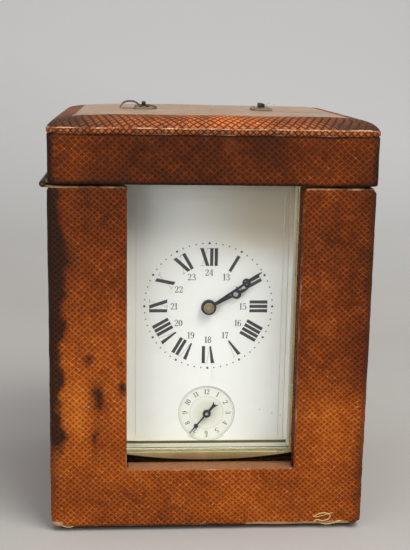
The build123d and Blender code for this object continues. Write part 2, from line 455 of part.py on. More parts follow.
# platform escapement under the top glass
PZ = 107.0
EX, EY = C[0], -12.57
LX, LY = C[0], -5.9
BX, BY = C[0], 1.2
plat = fillet(bx(-17, 17, -21.3, 9.3, 105.4, PZ).edges().filter_by(Axis.Z), 3.0)
plat += bx(-17, -13, -21.3, -19.5, PLATE_Z1, 105.4) + bx(13, 17, -21.3, -19.5, PLATE_Z1, 105.4) + bx(-17, -13, 7.5, 9.3, PLATE_Z1, 105.4) + bx(13, 17, 7.5, 9.3, PLATE_Z1, 105.4)
plat -= cz(EX, EY, 1.6, 100, 120)
cock = bx(BX - 13.5, BX - 9.8, BY - 3, BY + 3, PZ, 114.2) + bx(BX - 13.5, BX, BY - 1.8, BY + 1.8, 113.2, 114.2) + cz(BX, BY, 2.2, 113.2, 114.2)
cock -= cz(BX, BY, 0.45, 113, 115)
ecock = bx(EX - 8.0, EX - 6.0, EY - 2, EY + 2, PZ, 110.4) + bx(EX - 8.0, EX, EY - 1.2, EY + 1.2, 109.9, 110.6) + cz(EX, EY, 1.4, 109.9, 110.6) - cz(EX, EY, 0.35, 109, 112)
lcock = bx(LX + 5.6, LX + 7.4, LY - 1.6, LY + 1.6, PZ, 110.4) + bx(LX, LX + 7.4, LY - 0.9, LY + 0.9, 109.9, 110.6) + cz(LX, LY, 1.0, 109.9, 110.6) - cz(LX, LY, 0.35, 109, 112)
node("platform", plat - cz(BX, BY, 0.45, 100, 108) - cz(LX, LY, 0.35, 100, 108))
node("platform_cocks", cock + ecock + lcock)
esc = cz(EX, EY, 0.5, 99.6, 109.8) + cz(EX, EY, 0.3, 109.8, 110.5)
ep = Pos(EX, EY, 99.9) * poly(gear_points(7, 0.22, math.radians(90), thick=0.34, tip=0.14, add=0.75, ded=1.0))
esc += extrude(ep, 2.7)
et = []
for k in range(15):
    a = k * 2 * math.pi / 15
    et += [(4.0 * math.cos(a), 4.0 * math.sin(a)), (4.9 * math.cos(a + 0.10), 4.9 * math.sin(a + 0.10)), (5.0 * math.cos(a + 0.17), 5.0 * math.sin(a + 0.17)), (4.1 * math.cos(a + 0.14), 4.1 * math.sin(a + 0.14))]
ef = poly(et) - ring(3.3, 1.3) + Rectangle(7.0, 0.7) + Rectangle(0.7, 7.0)
esc += extrude(Pos(EX, EY, 108.3) * ef, 0.5)
node("escape_wheel", esc)
lev = cz(LX, LY, 0.6, 107.2, 109.7) + cz(LX, LY, 0.3, 106.2, 110.5)
# anchor clear of the escape wheel, fork towards the balance
lev_f = poly([(-0.5, -0.7), (0.5, -0.7), (0.45, 4.6), (1.0, 5.3), (1.0, 5.9), (0.45, 5.9), (0.4, 5.2), (-0.4, 5.2), (-0.45, 5.9), (-1.0, 5.9), (-1.0, 5.3), (-0.45, 4.6)])
lev_f += poly([(-3.6, 0.3), (-3.0, -1.3), (-2.4, -1.2), (-2.2, -0.1), (2.2, -0.1), (2.4, -1.2), (3.0, -1.3), (3.6, 0.3), (2.4, 0.9), (-2.4, 0.9)])
lev += extrude(Pos(LX, LY, 107.4) * lev_f, 0.6)
node("pallet_lever", lev)
bal = cz(BX, BY, 0.5, 107.2, 113.1) + cz(BX, BY, 0.35, 106.2, 114.1)
bal += extrude(Pos(BX, BY, 110.9) * (ring(8.4, 7.2) + Rectangle(15.0, 1.3) + Circle(1.7)), 1.0)
for k in range(12):
    a = math.radians(15 + 30 * k)
    bal += Pos(BX + 8.7 * math.cos(a), BY + 8.7 * math.sin(a), 111.4) * Sphere(0.48)
bal += extrude(Pos(BX, BY, 109.0) * Circle(1.5), 0.4)
node("balance_wheel", bal)
hs = []
N = 100
for s_, rr in ((1, 0.07), (-1, -0.07)):
    row = [((1.3 + 3.6 * k / N + rr) * math.cos(k * 2 * math.pi / 20), (1.3 + 3.6 * k / N + rr) * math.sin(k * 2 * math.pi / 20)) for k in range(N + 1)]
    hs += row if s_ == 1 else row[::-1]
node("hairspring", extrude(Pos(BX, BY, 112.25) * poly(hs), 0.3) + (extrude(Pos(BX, BY, 112.1) * ring(1.4, 0.5), 0.6)))

# alarm work
ph_ab = 0.0
ph_ap = mesh_phase(60, ph_ab, 8, math.radians(90))
ab = cy(ABAR[0], ABAR[1], 8.6, -13.0, 1.5) - cy(ABAR[0], ABAR[1], 7.9, -12.4, 0.9)
ab += slab(Pos(*ABAR) * poly(gear_points(60, 0.32, ph_ab, thick=0.38)), 1.5, 2.9) + cy(ABAR[0], ABAR[1], 2.0, -13.0, 2.9)
ab += cy(ABAR[0], ABAR[1], 1.6, FP_Y0, 12.2) + slab(Pos(*ABAR) * Rectangle(2.2, 2.2), 12.2, 21.0)
node("alarm_barrel", ab)
aw = cy(AW[0], AW[1], 0.6, FP_Y1 + 0.2, BP_Y0 - 0.2) + cy(AW[0], AW[1], 0.4, FP_Y0 + 0.2, BP_Y1 - 0.2)
aw += slab(Pos(*AW) * poly(gear_points(8, 0.32, ph_ap, **PIN)), 1.1, 3.3)
rt = []
for k in range(18):
    a = k * 2 * math.pi / 18
    rt += [(5.6 * math.cos(a), 5.6 * math.sin(a)), (4.5 * math.cos(a + 0.06), 4.5 * math.sin(a + 0.06))]
aw += slab(Pos(*AW) * poly(rt), 4.6, 5.6)
node("alarm_wheel", aw)
hm = cy(HAM[0], HAM[1], 0.9, FP_Y1 + 0.2, BP_Y0 - 0.2) + cy(HAM[0], HAM[1], 0.5, FP_Y0 + 0.2, BP_Y1 - 0.2)
hm += cy(HAM[0], HAM[1], 1.8, -6.0, -4.0)
hm += slab(poly([(HAM[0] - 0.7, HAM[1]), (HAM[0] + 0.7, HAM[1]), (21.4, 14.0), (20.2, 14.0)]), -5.5, -4.5)
hm += cxx(-5.0, 14.0, 1.9, 17.0, 21.0)
hm += slab(poly([(HAM[0], HAM[1] - 0.6), (HAM[0], HAM[1] + 0.6), (17.9, 59.2), (17.7, 58.0)]), 4.6, 5.6)
node("alarm_hammer", hm)
bell_prof = [(0.0, 21.6), (4.0, 21.4), (9.0, 20.2), (13.5, 17.2), (15.8, 13.4), (16.8, 10.2), (16.0, 10.2), (15.0, 13.2), (12.9, 16.5), (8.7, 19.2), (3.9, 20.4), (0.0, 20.6)]
bell_face = make_face(Polyline(*[(a, 0, b) for a, b in bell_prof], close=True))
bell = Pos(0, CLK_CY, 0) * revolve(bell_face, Axis.Z, 360)
stud = cz(0, CLK_CY, 1.6, 18.6, DECK_Z + 0.8) + cz(0, CLK_CY, 2.8, 18.0, 19.6)
bell -= cz(0, CLK_CY, 1.65, 19.6, 30)
node("alarm_bell", Compound(children=list(bell.solids()) + list(stud.solids())))
aa = cy(ACX, ACZ, 0.9, FP_Y0, 12.4) + cy(ACX, ACZ, 0.6, -31.9, FP_Y0) + slab(Pos(ACX, ACZ) * Rectangle(1.7, 1.7), 12.4, 20.0)
aa += cy(ACX, ACZ, 5.2, -20.4, -19.4)
node("alarm_arbor", aa)

for name, shape in NODES.items():
    solids = shape.solids()
    export_step(Compound(children=list(solids)) if len(solids) > 1 else solids[0], f"parts/{name}.step")
print(len(NODES), "nodes")
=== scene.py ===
import json
import math

import bmesh
import bpy
import numpy as np
from mathutils import Matrix, Vector, noise as mn


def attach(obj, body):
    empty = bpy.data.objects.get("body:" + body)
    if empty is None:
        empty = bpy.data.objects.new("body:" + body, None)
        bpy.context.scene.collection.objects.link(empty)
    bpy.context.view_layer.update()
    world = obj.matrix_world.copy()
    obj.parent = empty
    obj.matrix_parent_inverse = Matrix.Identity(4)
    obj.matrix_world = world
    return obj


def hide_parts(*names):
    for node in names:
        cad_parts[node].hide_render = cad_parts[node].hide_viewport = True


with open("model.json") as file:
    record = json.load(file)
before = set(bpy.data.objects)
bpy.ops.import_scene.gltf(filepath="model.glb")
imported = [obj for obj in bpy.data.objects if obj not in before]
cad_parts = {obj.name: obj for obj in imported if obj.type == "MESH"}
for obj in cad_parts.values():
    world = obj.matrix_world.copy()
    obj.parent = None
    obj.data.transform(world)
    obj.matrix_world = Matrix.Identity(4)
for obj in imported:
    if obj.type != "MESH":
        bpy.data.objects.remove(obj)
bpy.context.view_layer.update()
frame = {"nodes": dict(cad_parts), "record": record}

# Officer's carriage clock in its leather travelling case. Lengths below are in millimetres and
# become metres when a mesh is made.
MM = 0.001
NODES = frame["nodes"]

# the same sizes as the frame
HX, HY, Z0, Z1 = 55.0, 47.0, 1.2, 123.0
WX0, WX1, WZ = -28.8, 30.7, 22.9
FRONT_IN, BACK_IN, SIDE_IN, FLOOR_IN = -39.8, 41.0, 49.0, 6.2
SKIN = 0.8
HINGE_Y = 43.3
LHX, LHY, LZ0, LSEAM, LEDGE, LTOP, LINSET = 55.6, 47.6, 123.6, 140.3, 142.5, 146.6, 8.6
DIAL_Y = -30.6
CX, CZ, ACX, ACZ = 0.2, 78.5, 0.2, 38.45


# ================================================================ shader helper
class Mat:
    """Small helper that writes node trees. Every input may be a number, a colour or a socket."""

    def __init__(self, name):
        self.m = bpy.data.materials.new(name)
        self.m.use_nodes = True
        self.t = self.m.node_tree
        self.t.nodes.clear()
        self.out = self.t.nodes.new("ShaderNodeOutputMaterial")
        tc = self.t.nodes.new("ShaderNodeTexCoord")
        self.pos = self.vm("SCALE", tc.outputs["Object"], scale=1000.0)

    def put(self, sock, v):
        if isinstance(v, bpy.types.NodeSocket):
            self.t.links.new(v, sock)
        elif v is not None:
            sock.default_value = v

    def math(self, op, a, b=None, c=None, clamp=False):
        n = self.t.nodes.new("ShaderNodeMath")
        n.operation = op
        n.use_clamp = clamp
        for s, v in zip(n.inputs, (a, b, c)):
            self.put(s, v)
        return n.outputs[0]

    def vm(self, op, a, b=None, scale=None):
        n = self.t.nodes.new("ShaderNodeVectorMath")
        n.operation = op
        self.put(n.inputs[0], a)
        if b is not None:
            self.put(n.inputs[1], b)
        if scale is not None:
            self.put(n.inputs["Scale"], scale)
        return n.outputs["Value"] if op in ("LENGTH", "DOT_PRODUCT", "DISTANCE") else n.outputs["Vector"]

    def sep(self, v):
        n = self.t.nodes.new("ShaderNodeSeparateXYZ")
        self.put(n.inputs[0], v)
        return n.outputs[0], n.outputs[1], n.outputs[2]

    def comb(self, x=0.0, y=0.0, z=0.0):
        n = self.t.nodes.new("ShaderNodeCombineXYZ")
        for s, v in zip(n.inputs, (x, y, z)):
            self.put(s, v)
        return n.outputs[0]

    def noise(self, v, scale, detail=2.0, rough=0.5, dist=0.0, colour=False):
        n = self.t.nodes.new("ShaderNodeTexNoise")
        self.put(n.inputs["Vector"], v)
        n.inputs["Scale"].default_value = scale
        n.inputs["Detail"].default_value = detail
        n.inputs["Roughness"].default_value = rough
        n.inputs["Distortion"].default_value = dist
        return n.outputs["Color"] if colour else n.outputs["Fac"]

    def voro(self, v, scale, feature="F1", out="Distance"):
        n = self.t.nodes.new("ShaderNodeTexVoronoi")
        n.feature = feature
        self.put(n.inputs["Vector"], v)
        n.inputs["Scale"].default_value = scale
        return n.outputs[out]

    def ramp(self, fac, stops, interp="LINEAR"):
        n = self.t.nodes.new("ShaderNodeValToRGB")
        n.color_ramp.interpolation = interp
        e = n.color_ramp.elements
        while len(e) < len(stops):
            e.new(0.5)
        for el, (p, c) in zip(e, stops):
            el.position = p
            el.color = c if len(c) == 4 else (*c, 1.0)
        self.put(n.inputs[0], fac)
        return n.outputs[0]

    def rng(self, x, a, b, c=0.0, d=1.0, smooth=True):
        n = self.t.nodes.new("ShaderNodeMapRange")
        n.interpolation_type = "SMOOTHSTEP" if smooth else "LINEAR"
        n.clamp = True
        for s, v in zip(n.inputs, (x, a, b, c, d)):
            self.put(s, v)
        return n.outputs[0]

    def mix(self, fac, a, b, blend="MIX"):
        n = self.t.nodes.new("ShaderNodeMix")
        n.data_type = "RGBA"
        n.blend_type = blend
        n.clamp_factor = True
        self.put(n.inputs[0], fac)
        self.put(n.inputs[6], a if isinstance(a, bpy.types.NodeSocket) or len(a) == 4 else (*a, 1.0))
        self.put(n.inputs[7], b if isinstance(b, bpy.types.NodeSocket) or len(b) == 4 else (*b, 1.0))
        return n.outputs[2]

    def lerp(self, fac, a, b):
        return self.math("MULTIPLY_ADD", fac, b - a, a)

    def add(self, *xs):
        r = xs[0]
        for x in xs[1:]:
            r = self.math("ADD", r, x)
        return r

    def mul(self, *xs):
        r = xs[0]
        for x in xs[1:]:
            r = self.math("MULTIPLY", r, x)
        return r

    def attr(self, name, out="Fac"):
        n = self.t.nodes.new("ShaderNodeAttribute")
        n.attribute_name = name
        return n.outputs[out]

    def edge_normal(self, radius_mm, samples=4):
        n = self.t.nodes.new("ShaderNodeBevel")
        n.samples = samples
        n.inputs["Radius"].default_value = radius_mm * MM
        return n.outputs[0]

    def bump(self, height, dist_mm, strength=1.0, normal=None):
        n = self.t.nodes.new("ShaderNodeBump")
        n.inputs["Strength"].default_value = strength
        n.inputs["Distance"].default_value = dist_mm * MM
        self.put(n.inputs["Height"], height)
        if normal is not None:
            self.put(n.inputs["Normal"], normal)
        return n.outputs[0]

    def bsdf(self, **kw):
        n = self.t.nodes.new("ShaderNodeBsdfPrincipled")
        for k, v in kw.items():
            s = n.inputs[k.replace("_", " ")]
            if isinstance(v, tuple) and len(v) == 3 and s.type == "RGBA":
                v = (*v, 1.0)
            self.put(s, v)
        self.t.links.new(n.outputs[0], self.out.inputs["Surface"])
        return self.m


def C(r, g, b):
    """A colour given as 0..255 screen values, made linear."""
    def f(v):
        v /= 255.0
        return v / 12.92 if v <= 0.04045 else ((v + 0.055) / 1.055) ** 2.4
    return (f(r), f(g), f(b))


# ================================================================ materials
def mat_leather(name, pitch_u, pitch_v, lift=1.0, tone_shift=0.0, spec=0.07, rough_shift=0.0, painted_sheen=0.0, net_gain=1.0, lines_dark=False):
    """Old varnished leather with a fine diagonal diamond net pressed in, dark in the pits, worn lighter on the ridges."""
    k = Mat(name)
    n_u, n_v, _ = k.sep(k.attr("net", "Vector"))
    warp = k.vm("SUBTRACT", k.noise(k.pos, 0.16, 2.0, 0.55, colour=True), (0.5, 0.5, 0.5))
    w_x, w_y, _ = k.sep(warp)
    u = k.math("MULTIPLY_ADD", w_x, 1.3, n_u)
    v = k.math("MULTIPLY_ADD", w_y, 1.3, n_v)
    u = k.math("DIVIDE", u, pitch_u)
    v = k.math("DIVIDE", v, pitch_v)

    def dist(s):
        return k.math("ABSOLUTE", k.math("SUBTRACT", k.math("FRACT", s), 0.5))

    dp, dq = dist(k.add(u, v)), dist(k.math("SUBTRACT", u, v))
    m = k.math("MAXIMUM", dp, dq)
    far = k.noise(k.pos, 0.055, 3.0, 0.55)
    mid = k.noise(k.pos, 0.32, 3.0, 0.6)
    fine = k.noise(k.pos, 1.7, 3.0, 0.62)
    grain = k.noise(k.pos, 6.0, 2.0, 0.6)
    ridge = k.rng(m, 0.365, 0.475)
    broken = k.rng(fine, 0.34, 0.56)
    ridge_c = k.mul(ridge, k.math("MULTIPLY_ADD", broken, 0.65, 0.35))
    pit = k.rng(m, 0.42, 0.22)
    tone = k.attr("tone")
    t = k.add(tone, k.math("MULTIPLY_ADD", far, 0.64, -0.32), k.math("MULTIPLY_ADD", mid, 0.64, -0.32), k.math("MULTIPLY_ADD", fine, 0.34, -0.17 + tone_shift))
    L = lift
    base = k.ramp(t, [(0.0, (0.034 * L, 0.0100 * L, 0.0040 * L)), (0.22, (0.080 * L, 0.0180 * L, 0.0045 * L)), (0.48, (0.165 * L, 0.032 * L, 0.0046 * L)),
                      (0.74, (0.31 * L, 0.066 * L, 0.0062 * L)), (1.0, (0.50 * L, 0.135 * L, 0.014 * L))])
    worn_net = k.rng(k.add(t, k.math("MULTIPLY_ADD", mid, 0.6, -0.3)), 0.05, 0.85, 0.30, 0.85)
    light = k.mix(0.20, k.mix(1.0, base, (1.9, 2.0, 2.3), "MULTIPLY"), (0.64, 0.238, 0.078))
    if lines_dark:      # over a padded edge the glaze is rubbed off the cells and stays in the lines
        col = k.mix(k.mul(pit, k.math("MULTIPLY_ADD", worn_net, 0.7, 0.3)), base, light)
        dark = k.mix(1.0, base, (0.30, 0.24, 0.22), "MULTIPLY")
        col = k.mix(k.mul(k.rng(m, 0.34, 0.44), k.math("MULTIPLY_ADD", broken, 0.45, 0.55)), col, dark)
    else:
        col = k.mix(k.mul(ridge_c, worn_net, net_gain), base, light)
        dark = k.mix(1.0, col, (0.70, 0.60, 0.56), "MULTIPLY")
        col = k.mix(k.mul(pit, k.rng(mid, 0.25, 0.7, 0.40, 1.0)), col, dark)
    # painted glints: small pale peach spots on the ridges; with lines_dark, on the cells instead
    painted_glint = k.mul(k.rng(k.noise(k.pos, 1.25, 1.0, 0.5), 0.60, 0.72), k.rng(t, 0.25, 0.75))
    col = k.mix(k.mul(painted_glint, pit if lines_dark else ridge, 0.50), col, (0.84, 0.50, 0.25))
    # rubbed patches where the net is nearly polished away
    rub = k.rng(k.noise(k.pos, 0.11, 4.0, 0.62), 0.60, 0.74)
    col = k.mix(k.mul(rub, 0.45), col, k.mix(0.35, base, (0.30, 0.10, 0.03)))
    # dark stains and patina, together with painted shade that the same attribute carries
    stain_and_shade = k.attr("stain_and_shade")
    s = k.rng(k.add(stain_and_shade, k.math("MULTIPLY_ADD", mid, 1.0, -0.5), k.math("MULTIPLY_ADD", fine, 0.5, -0.25)), 0.20, 0.90)
    col = k.mix(k.mul(s, 0.94), col, k.mix(k.mul(ridge, 0.5), (0.018, 0.0088, 0.0056), (0.050, 0.025, 0.016)))
    # pale worn edges; along the lid's lip partly a painted highlight
    worn = k.attr("worn")
    wv = k.rng(k.add(worn, k.math("MULTIPLY_ADD", fine, 0.9, -0.45), k.math("MULTIPLY_ADD", grain, 0.3, -0.15)), 0.38, 0.78)
    col = k.mix(k.mul(wv, 0.88), col, k.mix(grain, (0.48, 0.24, 0.115), (0.78, 0.52, 0.31)))
    # bare suede where the skin has gone
    sued = k.attr("suede")
    fib = k.noise(k.vm("MULTIPLY", k.pos, (0.6, 2.2, 1.4)), 1.6, 4.0, 0.7)
    sv = k.rng(k.add(sued, k.math("MULTIPLY_ADD", fine, 0.5, -0.25)), 0.40, 0.62)
    col = k.mix(sv, col, k.ramp(fib, [(0.25, (0.13, 0.050, 0.022)), (0.5, (0.27, 0.118, 0.056)), (0.8, (0.45, 0.25, 0.14))]))
    if painted_sheen:      # painted sheen: pale beige in the pits of the upper face, standing in for the grazing reflection of the bright surroundings
        painted_sheen_mask = k.rng(k.add(k.mul(far, 0.4), k.mul(mid, 0.3), k.mul(fine, 0.3)), 0.28, 0.58, 0.35, 1.0)
        col = k.mix(k.mul(painted_sheen_mask, k.math("MULTIPLY_ADD", pit, 0.34, 0.74), painted_sheen), col, (0.445, 0.350, 0.235))
    rough = k.add(k.lerp(ridge, 0.50 + rough_shift, 0.40 + rough_shift), k.math("MULTIPLY", fine, 0.10), k.mul(wv, 0.20), k.mul(sv, 0.35), k.mul(s, -0.05))
    h = k.add(k.mul(ridge, 0.8), k.mul(fine, 0.35), k.mul(grain, 0.14), k.mul(mid, 0.5))
    h = k.mix(sv, k.comb(h, h, h), k.comb(fib, fib, fib))
    nrm = k.bump(h, 0.13, 0.75)
    return k.bsdf(Base_Color=col, Roughness=rough, Normal=nrm, Specular_IOR_Level=spec)


def mat_strap():
    k = Mat("strap_leather_cracked")
    c = k.voro(k.pos, 1.1, "DISTANCE_TO_EDGE")
    fine = k.noise(k.pos, 2.2, 4.0, 0.6)
    big = k.noise(k.pos, 0.5, 2.0, 0.5)
    fib = k.noise(k.vm("MULTIPLY", k.pos, (0.5, 3.0, 3.0)), 2.0, 3.0, 0.6)
    col = k.ramp(k.add(big, k.math("MULTIPLY_ADD", fine, 0.5, -0.25)), [(0.3, (0.020, 0.011, 0.008)), (0.55, (0.075, 0.036, 0.022)), (0.8, (0.20, 0.10, 0.058))])
    col = k.mix(k.rng(c, 0.06, 0.0), col, (0.015, 0.009, 0.007))
    raw = k.rng(k.add(k.attr("worn"), k.math("MULTIPLY_ADD", fine, 0.5, -0.25)), 0.4, 0.7)
    col = k.mix(raw, col, k.ramp(fib, [(0.3, (0.20, 0.12, 0.075)), (0.75, (0.52, 0.38, 0.26))]))
    h = k.add(k.rng(c, 0.0, 0.1), k.mul(fine, 0.5), k.mul(raw, fib))
    return k.bsdf(Base_Color=col, Roughness=k.lerp(fine, 0.5, 0.8), Normal=k.bump(h, 0.12, 0.8))


def mat_thread():
    k = Mat("linen_thread")
    f = k.noise(k.vm("MULTIPLY", k.pos, (1.0, 1.0, 1.0)), 9.0, 2.0, 0.6)
    col = k.ramp(f, [(0.25, (0.50, 0.32, 0.11)), (0.8, (0.90, 0.66, 0.29))])
    return k.bsdf(Base_Color=col, Roughness=0.85, Normal=k.bump(f, 0.05, 0.6))


def mat_velvet(name, dark, lit):
    k = Mat(name)
    big = k.noise(k.pos, 0.06, 3.0, 0.55)
    nap = k.noise(k.vm("MULTIPLY", k.pos, (1.0, 1.0, 0.5)), 0.55, 3.0, 0.6)
    pile = k.noise(k.pos, 7.0, 2.0, 0.7)
    t = k.add(k.mul(big, 0.5), k.mul(nap, 0.35), k.mul(pile, 0.25))
    col = k.ramp(t, [(0.30, dark), (0.62, tuple((a + b) / 2 for a, b in zip(dark, lit))), (0.85, lit)])
    worn = k.rng(k.add(k.attr("worn"), k.math("MULTIPLY_ADD", nap, 0.8, -0.4)), 0.45, 0.85)
    col = k.mix(k.mul(worn, 0.55), col, tuple(0.55 * c + 0.05 for c in lit))
    h = k.add(k.mul(pile, 0.7), k.mul(nap, 0.5))
    return k.bsdf(Base_Color=col, Roughness=0.92, Sheen_Weight=0.75, Sheen_Roughness=0.35, Sheen_Tint=(*[min(1.0, c * 3.2 + 0.15) for c in lit], 1.0),
                  Specular_IOR_Level=0.15, Normal=k.bump(h, 0.16, 0.8))


def mat_felt():
    k = Mat("felt_matted")
    a = k.noise(k.vm("MULTIPLY", k.pos, (1.0, 0.35, 1.0)), 2.6, 4.0, 0.7, 0.6)
    b = k.noise(k.vm("MULTIPLY", k.pos, (0.35, 1.0, 1.0)), 2.6, 4.0, 0.7, 0.6)
    f = k.math("MAXIMUM", a, b)
    col = k.ramp(f, [(0.35, (0.012, 0.010, 0.009)), (0.62, (0.032, 0.026, 0.022)), (0.85, (0.085, 0.072, 0.060))])
    return k.bsdf(Base_Color=col, Roughness=0.95, Sheen_Weight=0.4, Sheen_Roughness=0.5, Specular_IOR_Level=0.1, Normal=k.bump(f, 0.2, 0.8))


def mat_wood():
    k = Mat("case_wood_grain")
    x, y, z = k.sep(k.pos)
    warp = k.noise(k.pos, 0.035, 2.0, 0.5)
    g = k.noise(k.comb(k.mul(x, 0.9), k.mul(y, 0.9), k.mul(z, 0.05)), 1.0, 5.0, 0.65, 0.8)
    rings = k.math("SINE", k.add(k.mul(x, 1.4), k.mul(y, 1.1), k.mul(warp, 16.0)))
    pores = k.noise(k.comb(k.mul(x, 5.0), k.mul(y, 5.0), k.mul(z, 0.25)), 1.0, 2.0, 0.5)
    t = k.add(k.mul(g, 0.7), k.mul(rings, 0.08), k.mul(pores, 0.25))
    col = k.ramp(t, [(0.25, (0.070, 0.034, 0.016)), (0.5, (0.17, 0.092, 0.043)), (0.75, (0.31, 0.19, 0.098))])
    return k.bsdf(Base_Color=col, Roughness=k.lerp(g, 0.62, 0.82), Normal=k.bump(k.add(g, k.mul(pores, 0.7)), 0.08, 0.7))


def mat_metal(name, stops, r0, r1, grain="satin", tarnish=None, tarnish_amount=0.0, centre=None, edge=0.12, aniso=0.0, bump=0.02, shade_bow=None, low=None, end=None):
    """Metal with grain, cloudy tarnish and softened edges. grain: satin, turned about centre (x, z), or straight."""
    k = Mat(name)
    x, y, z = k.sep(k.pos)
    cloud = k.noise(k.pos, 0.10, 4.0, 0.6)
    spots = k.noise(k.pos, 0.9, 4.0, 0.62)
    if grain == "turned":
        dx = k.math("SUBTRACT", x, centre[0])
        dz = k.math("SUBTRACT", z, centre[1])
        rad = k.math("SQRT", k.add(k.mul(dx, dx), k.mul(dz, dz)))
        g = k.noise(k.comb(k.mul(rad, 9.0), k.mul(y, 9.0), 0.0), 1.0, 3.0, 0.6)
    elif grain == "straight":
        g = k.noise(k.comb(k.mul(x, 0.3), k.mul(y, 7.0), k.mul(z, 7.0)), 1.0, 3.0, 0.6)
    elif grain == "upright":
        g = k.noise(k.comb(k.mul(x, 7.0), k.mul(y, 7.0), k.mul(z, 0.3)), 1.0, 3.0, 0.6)
    else:
        g = k.noise(k.pos, 7.0, 3.0, 0.6)
    t = k.add(k.mul(cloud, 0.55), k.mul(spots, 0.25), k.mul(g, 0.20))
    col = k.ramp(t, stops)
    rough = k.math("MULTIPLY_ADD", t, r1 - r0, r0)
    if tarnish:
        tn = k.rng(k.add(cloud, k.math("MULTIPLY_ADD", spots, 0.5, -0.25)), 0.62 - tarnish_amount, 0.82 - tarnish_amount * 0.6)
        col = k.mix(k.mul(tn, 0.8), col, tarnish)
        rough = k.math("MULTIPLY_ADD", tn, 0.22, rough)
    metal = 1.0
    if shade_bow:         # painted shade: near-black below a line that rises towards both ends, standing in for the shade and dark reflection under the sill
        shade_bow_mask = k.rng(k.math("SUBTRACT", z, k.math("MULTIPLY_ADD", k.mul(x, x), shade_bow[1], shade_bow[0])), 0.22, -0.12)
        col = k.mix(shade_bow_mask, col, (0.014, 0.012, 0.006))
        rough = k.math("MULTIPLY_ADD", shade_bow_mask, 0.25, rough)
    if low:         # the foot of a fitting turns pale beige and less metallic below a given height
        lm = k.rng(k.add(z, k.math("MULTIPLY_ADD", spots, 0.5, -0.25)), low[1], low[0])
        col = k.mix(k.mul(lm, 0.85), col, low[2])
        rough = k.math("MULTIPLY_ADD", lm, 0.3, rough)
        metal = k.math("MULTIPLY_ADD", lm, -0.9, 1.0)
    if end is not None:     # the outer side of the hinge is nearly black
        em = k.rng(x, end, end - 0.6)
        col = k.mix(k.mul(em, 0.85), col, (0.040, 0.027, 0.015))
    nrm = k.bump(k.add(k.mul(g, 0.6), k.mul(spots, 0.4)), bump, 0.6, k.edge_normal(edge))
    return k.bsdf(Base_Color=col, Roughness=rough, Metallic=metal, Anisotropic=aniso, Normal=nrm)


def mat_enamel():
    k = Mat("dial_enamel")
    x, y, z = k.sep(k.pos)
    big = k.noise(k.pos, 0.05, 2.0, 0.5)
    fine = k.noise(k.pos, 0.8, 3.0, 0.55)
    col = k.ramp(k.add(k.mul(big, 0.7), k.mul(fine, 0.3)), [(0.3, (0.82, 0.825, 0.805)), (0.7, (0.875, 0.88, 0.87))])
    # painted shade over the upper part, darkest at the right, standing in for the shadow that the lid and the case
    # front cast on the dial
    painted_shade_top = k.mul(k.rng(k.add(z, k.math("MULTIPLY_ADD", big, 10.0, -5.0)), 90.0, 110.0), k.rng(x, -16.0, 22.0, 0.10, 1.0))
    col = k.mix(painted_shade_top, col, k.mix(1.0, col, (0.56, 0.47, 0.35), "MULTIPLY"))
    # the sunk alarm dial is a little creamier
    dx, dz = k.math("SUBTRACT", x, ACX), k.math("SUBTRACT", z, ACZ)
    r = k.math("SQRT", k.add(k.mul(dx, dx), k.mul(dz, dz)))
    col = k.mix(k.mul(k.rng(r, 10.6, 9.9), 0.65), col, (0.77, 0.78, 0.70))
    col = k.mix(k.mul(k.rng(r, 6.4, 3.0), 0.55), col, (0.62, 0.64, 0.50))
    col = k.mix(k.mul(k.rng(k.math("ABSOLUTE", k.math("SUBTRACT", r, 10.2)), 0.22, 0.05), 0.55), col, (0.30, 0.30, 0.25))
    return k.bsdf(Base_Color=col, Roughness=k.lerp(fine, 0.16, 0.26), Coat_Weight=0.4, Coat_Roughness=0.08, Normal=k.bump(k.add(big, k.mul(fine, 0.2)), 0.15, 0.25))


def mat_print(name, dark, light):
    k = Mat(name)
    n = k.noise(k.pos, 2.2, 3.0, 0.6)
    col = k.ramp(n, [(0.3, dark), (0.75, light)])
    return k.bsdf(Base_Color=col, Roughness=0.42, Normal=k.bump(n, 0.02, 0.4))


def mat_glass():
    k = Mat("glass_bevelled")
    n = k.noise(k.pos, 0.06, 1.0, 0.4)
    smear = k.noise(k.pos, 0.35, 4.0, 0.65)
    rough = k.rng(smear, 0.50, 0.78, 0.0, 0.06)
    return k.bsdf(Base_Color=(0.965, 0.975, 0.955), Roughness=rough, IOR=1.50, Transmission_Weight=1.0, Normal=k.bump(n, 0.05, 0.25))


GILT = [(0.30, (0.52, 0.385, 0.17)), (0.50, (0.74, 0.58, 0.29)), (0.72, (0.86, 0.72, 0.42))]
BRASS = [(0.30, (0.46, 0.32, 0.12)), (0.52, (0.68, 0.50, 0.21)), (0.72, (0.82, 0.65, 0.33))]
OLD = [(0.30, (0.24, 0.155, 0.060)), (0.52, (0.42, 0.285, 0.115)), (0.75, (0.60, 0.43, 0.20))]
STEEL = [(0.30, (0.42, 0.42, 0.43)), (0.52, (0.56, 0.56, 0.57)), (0.72, (0.68, 0.68, 0.69))]
BELL = [(0.30, (0.40, 0.38, 0.33)), (0.52, (0.56, 0.53, 0.47)), (0.72, (0.68, 0.65, 0.59))]
BLUE = [(0.30, (0.010, 0.011, 0.020)), (0.52, (0.022, 0.024, 0.046)), (0.72, (0.045, 0.050, 0.092))]
PATINA = (0.085, 0.052, 0.026)

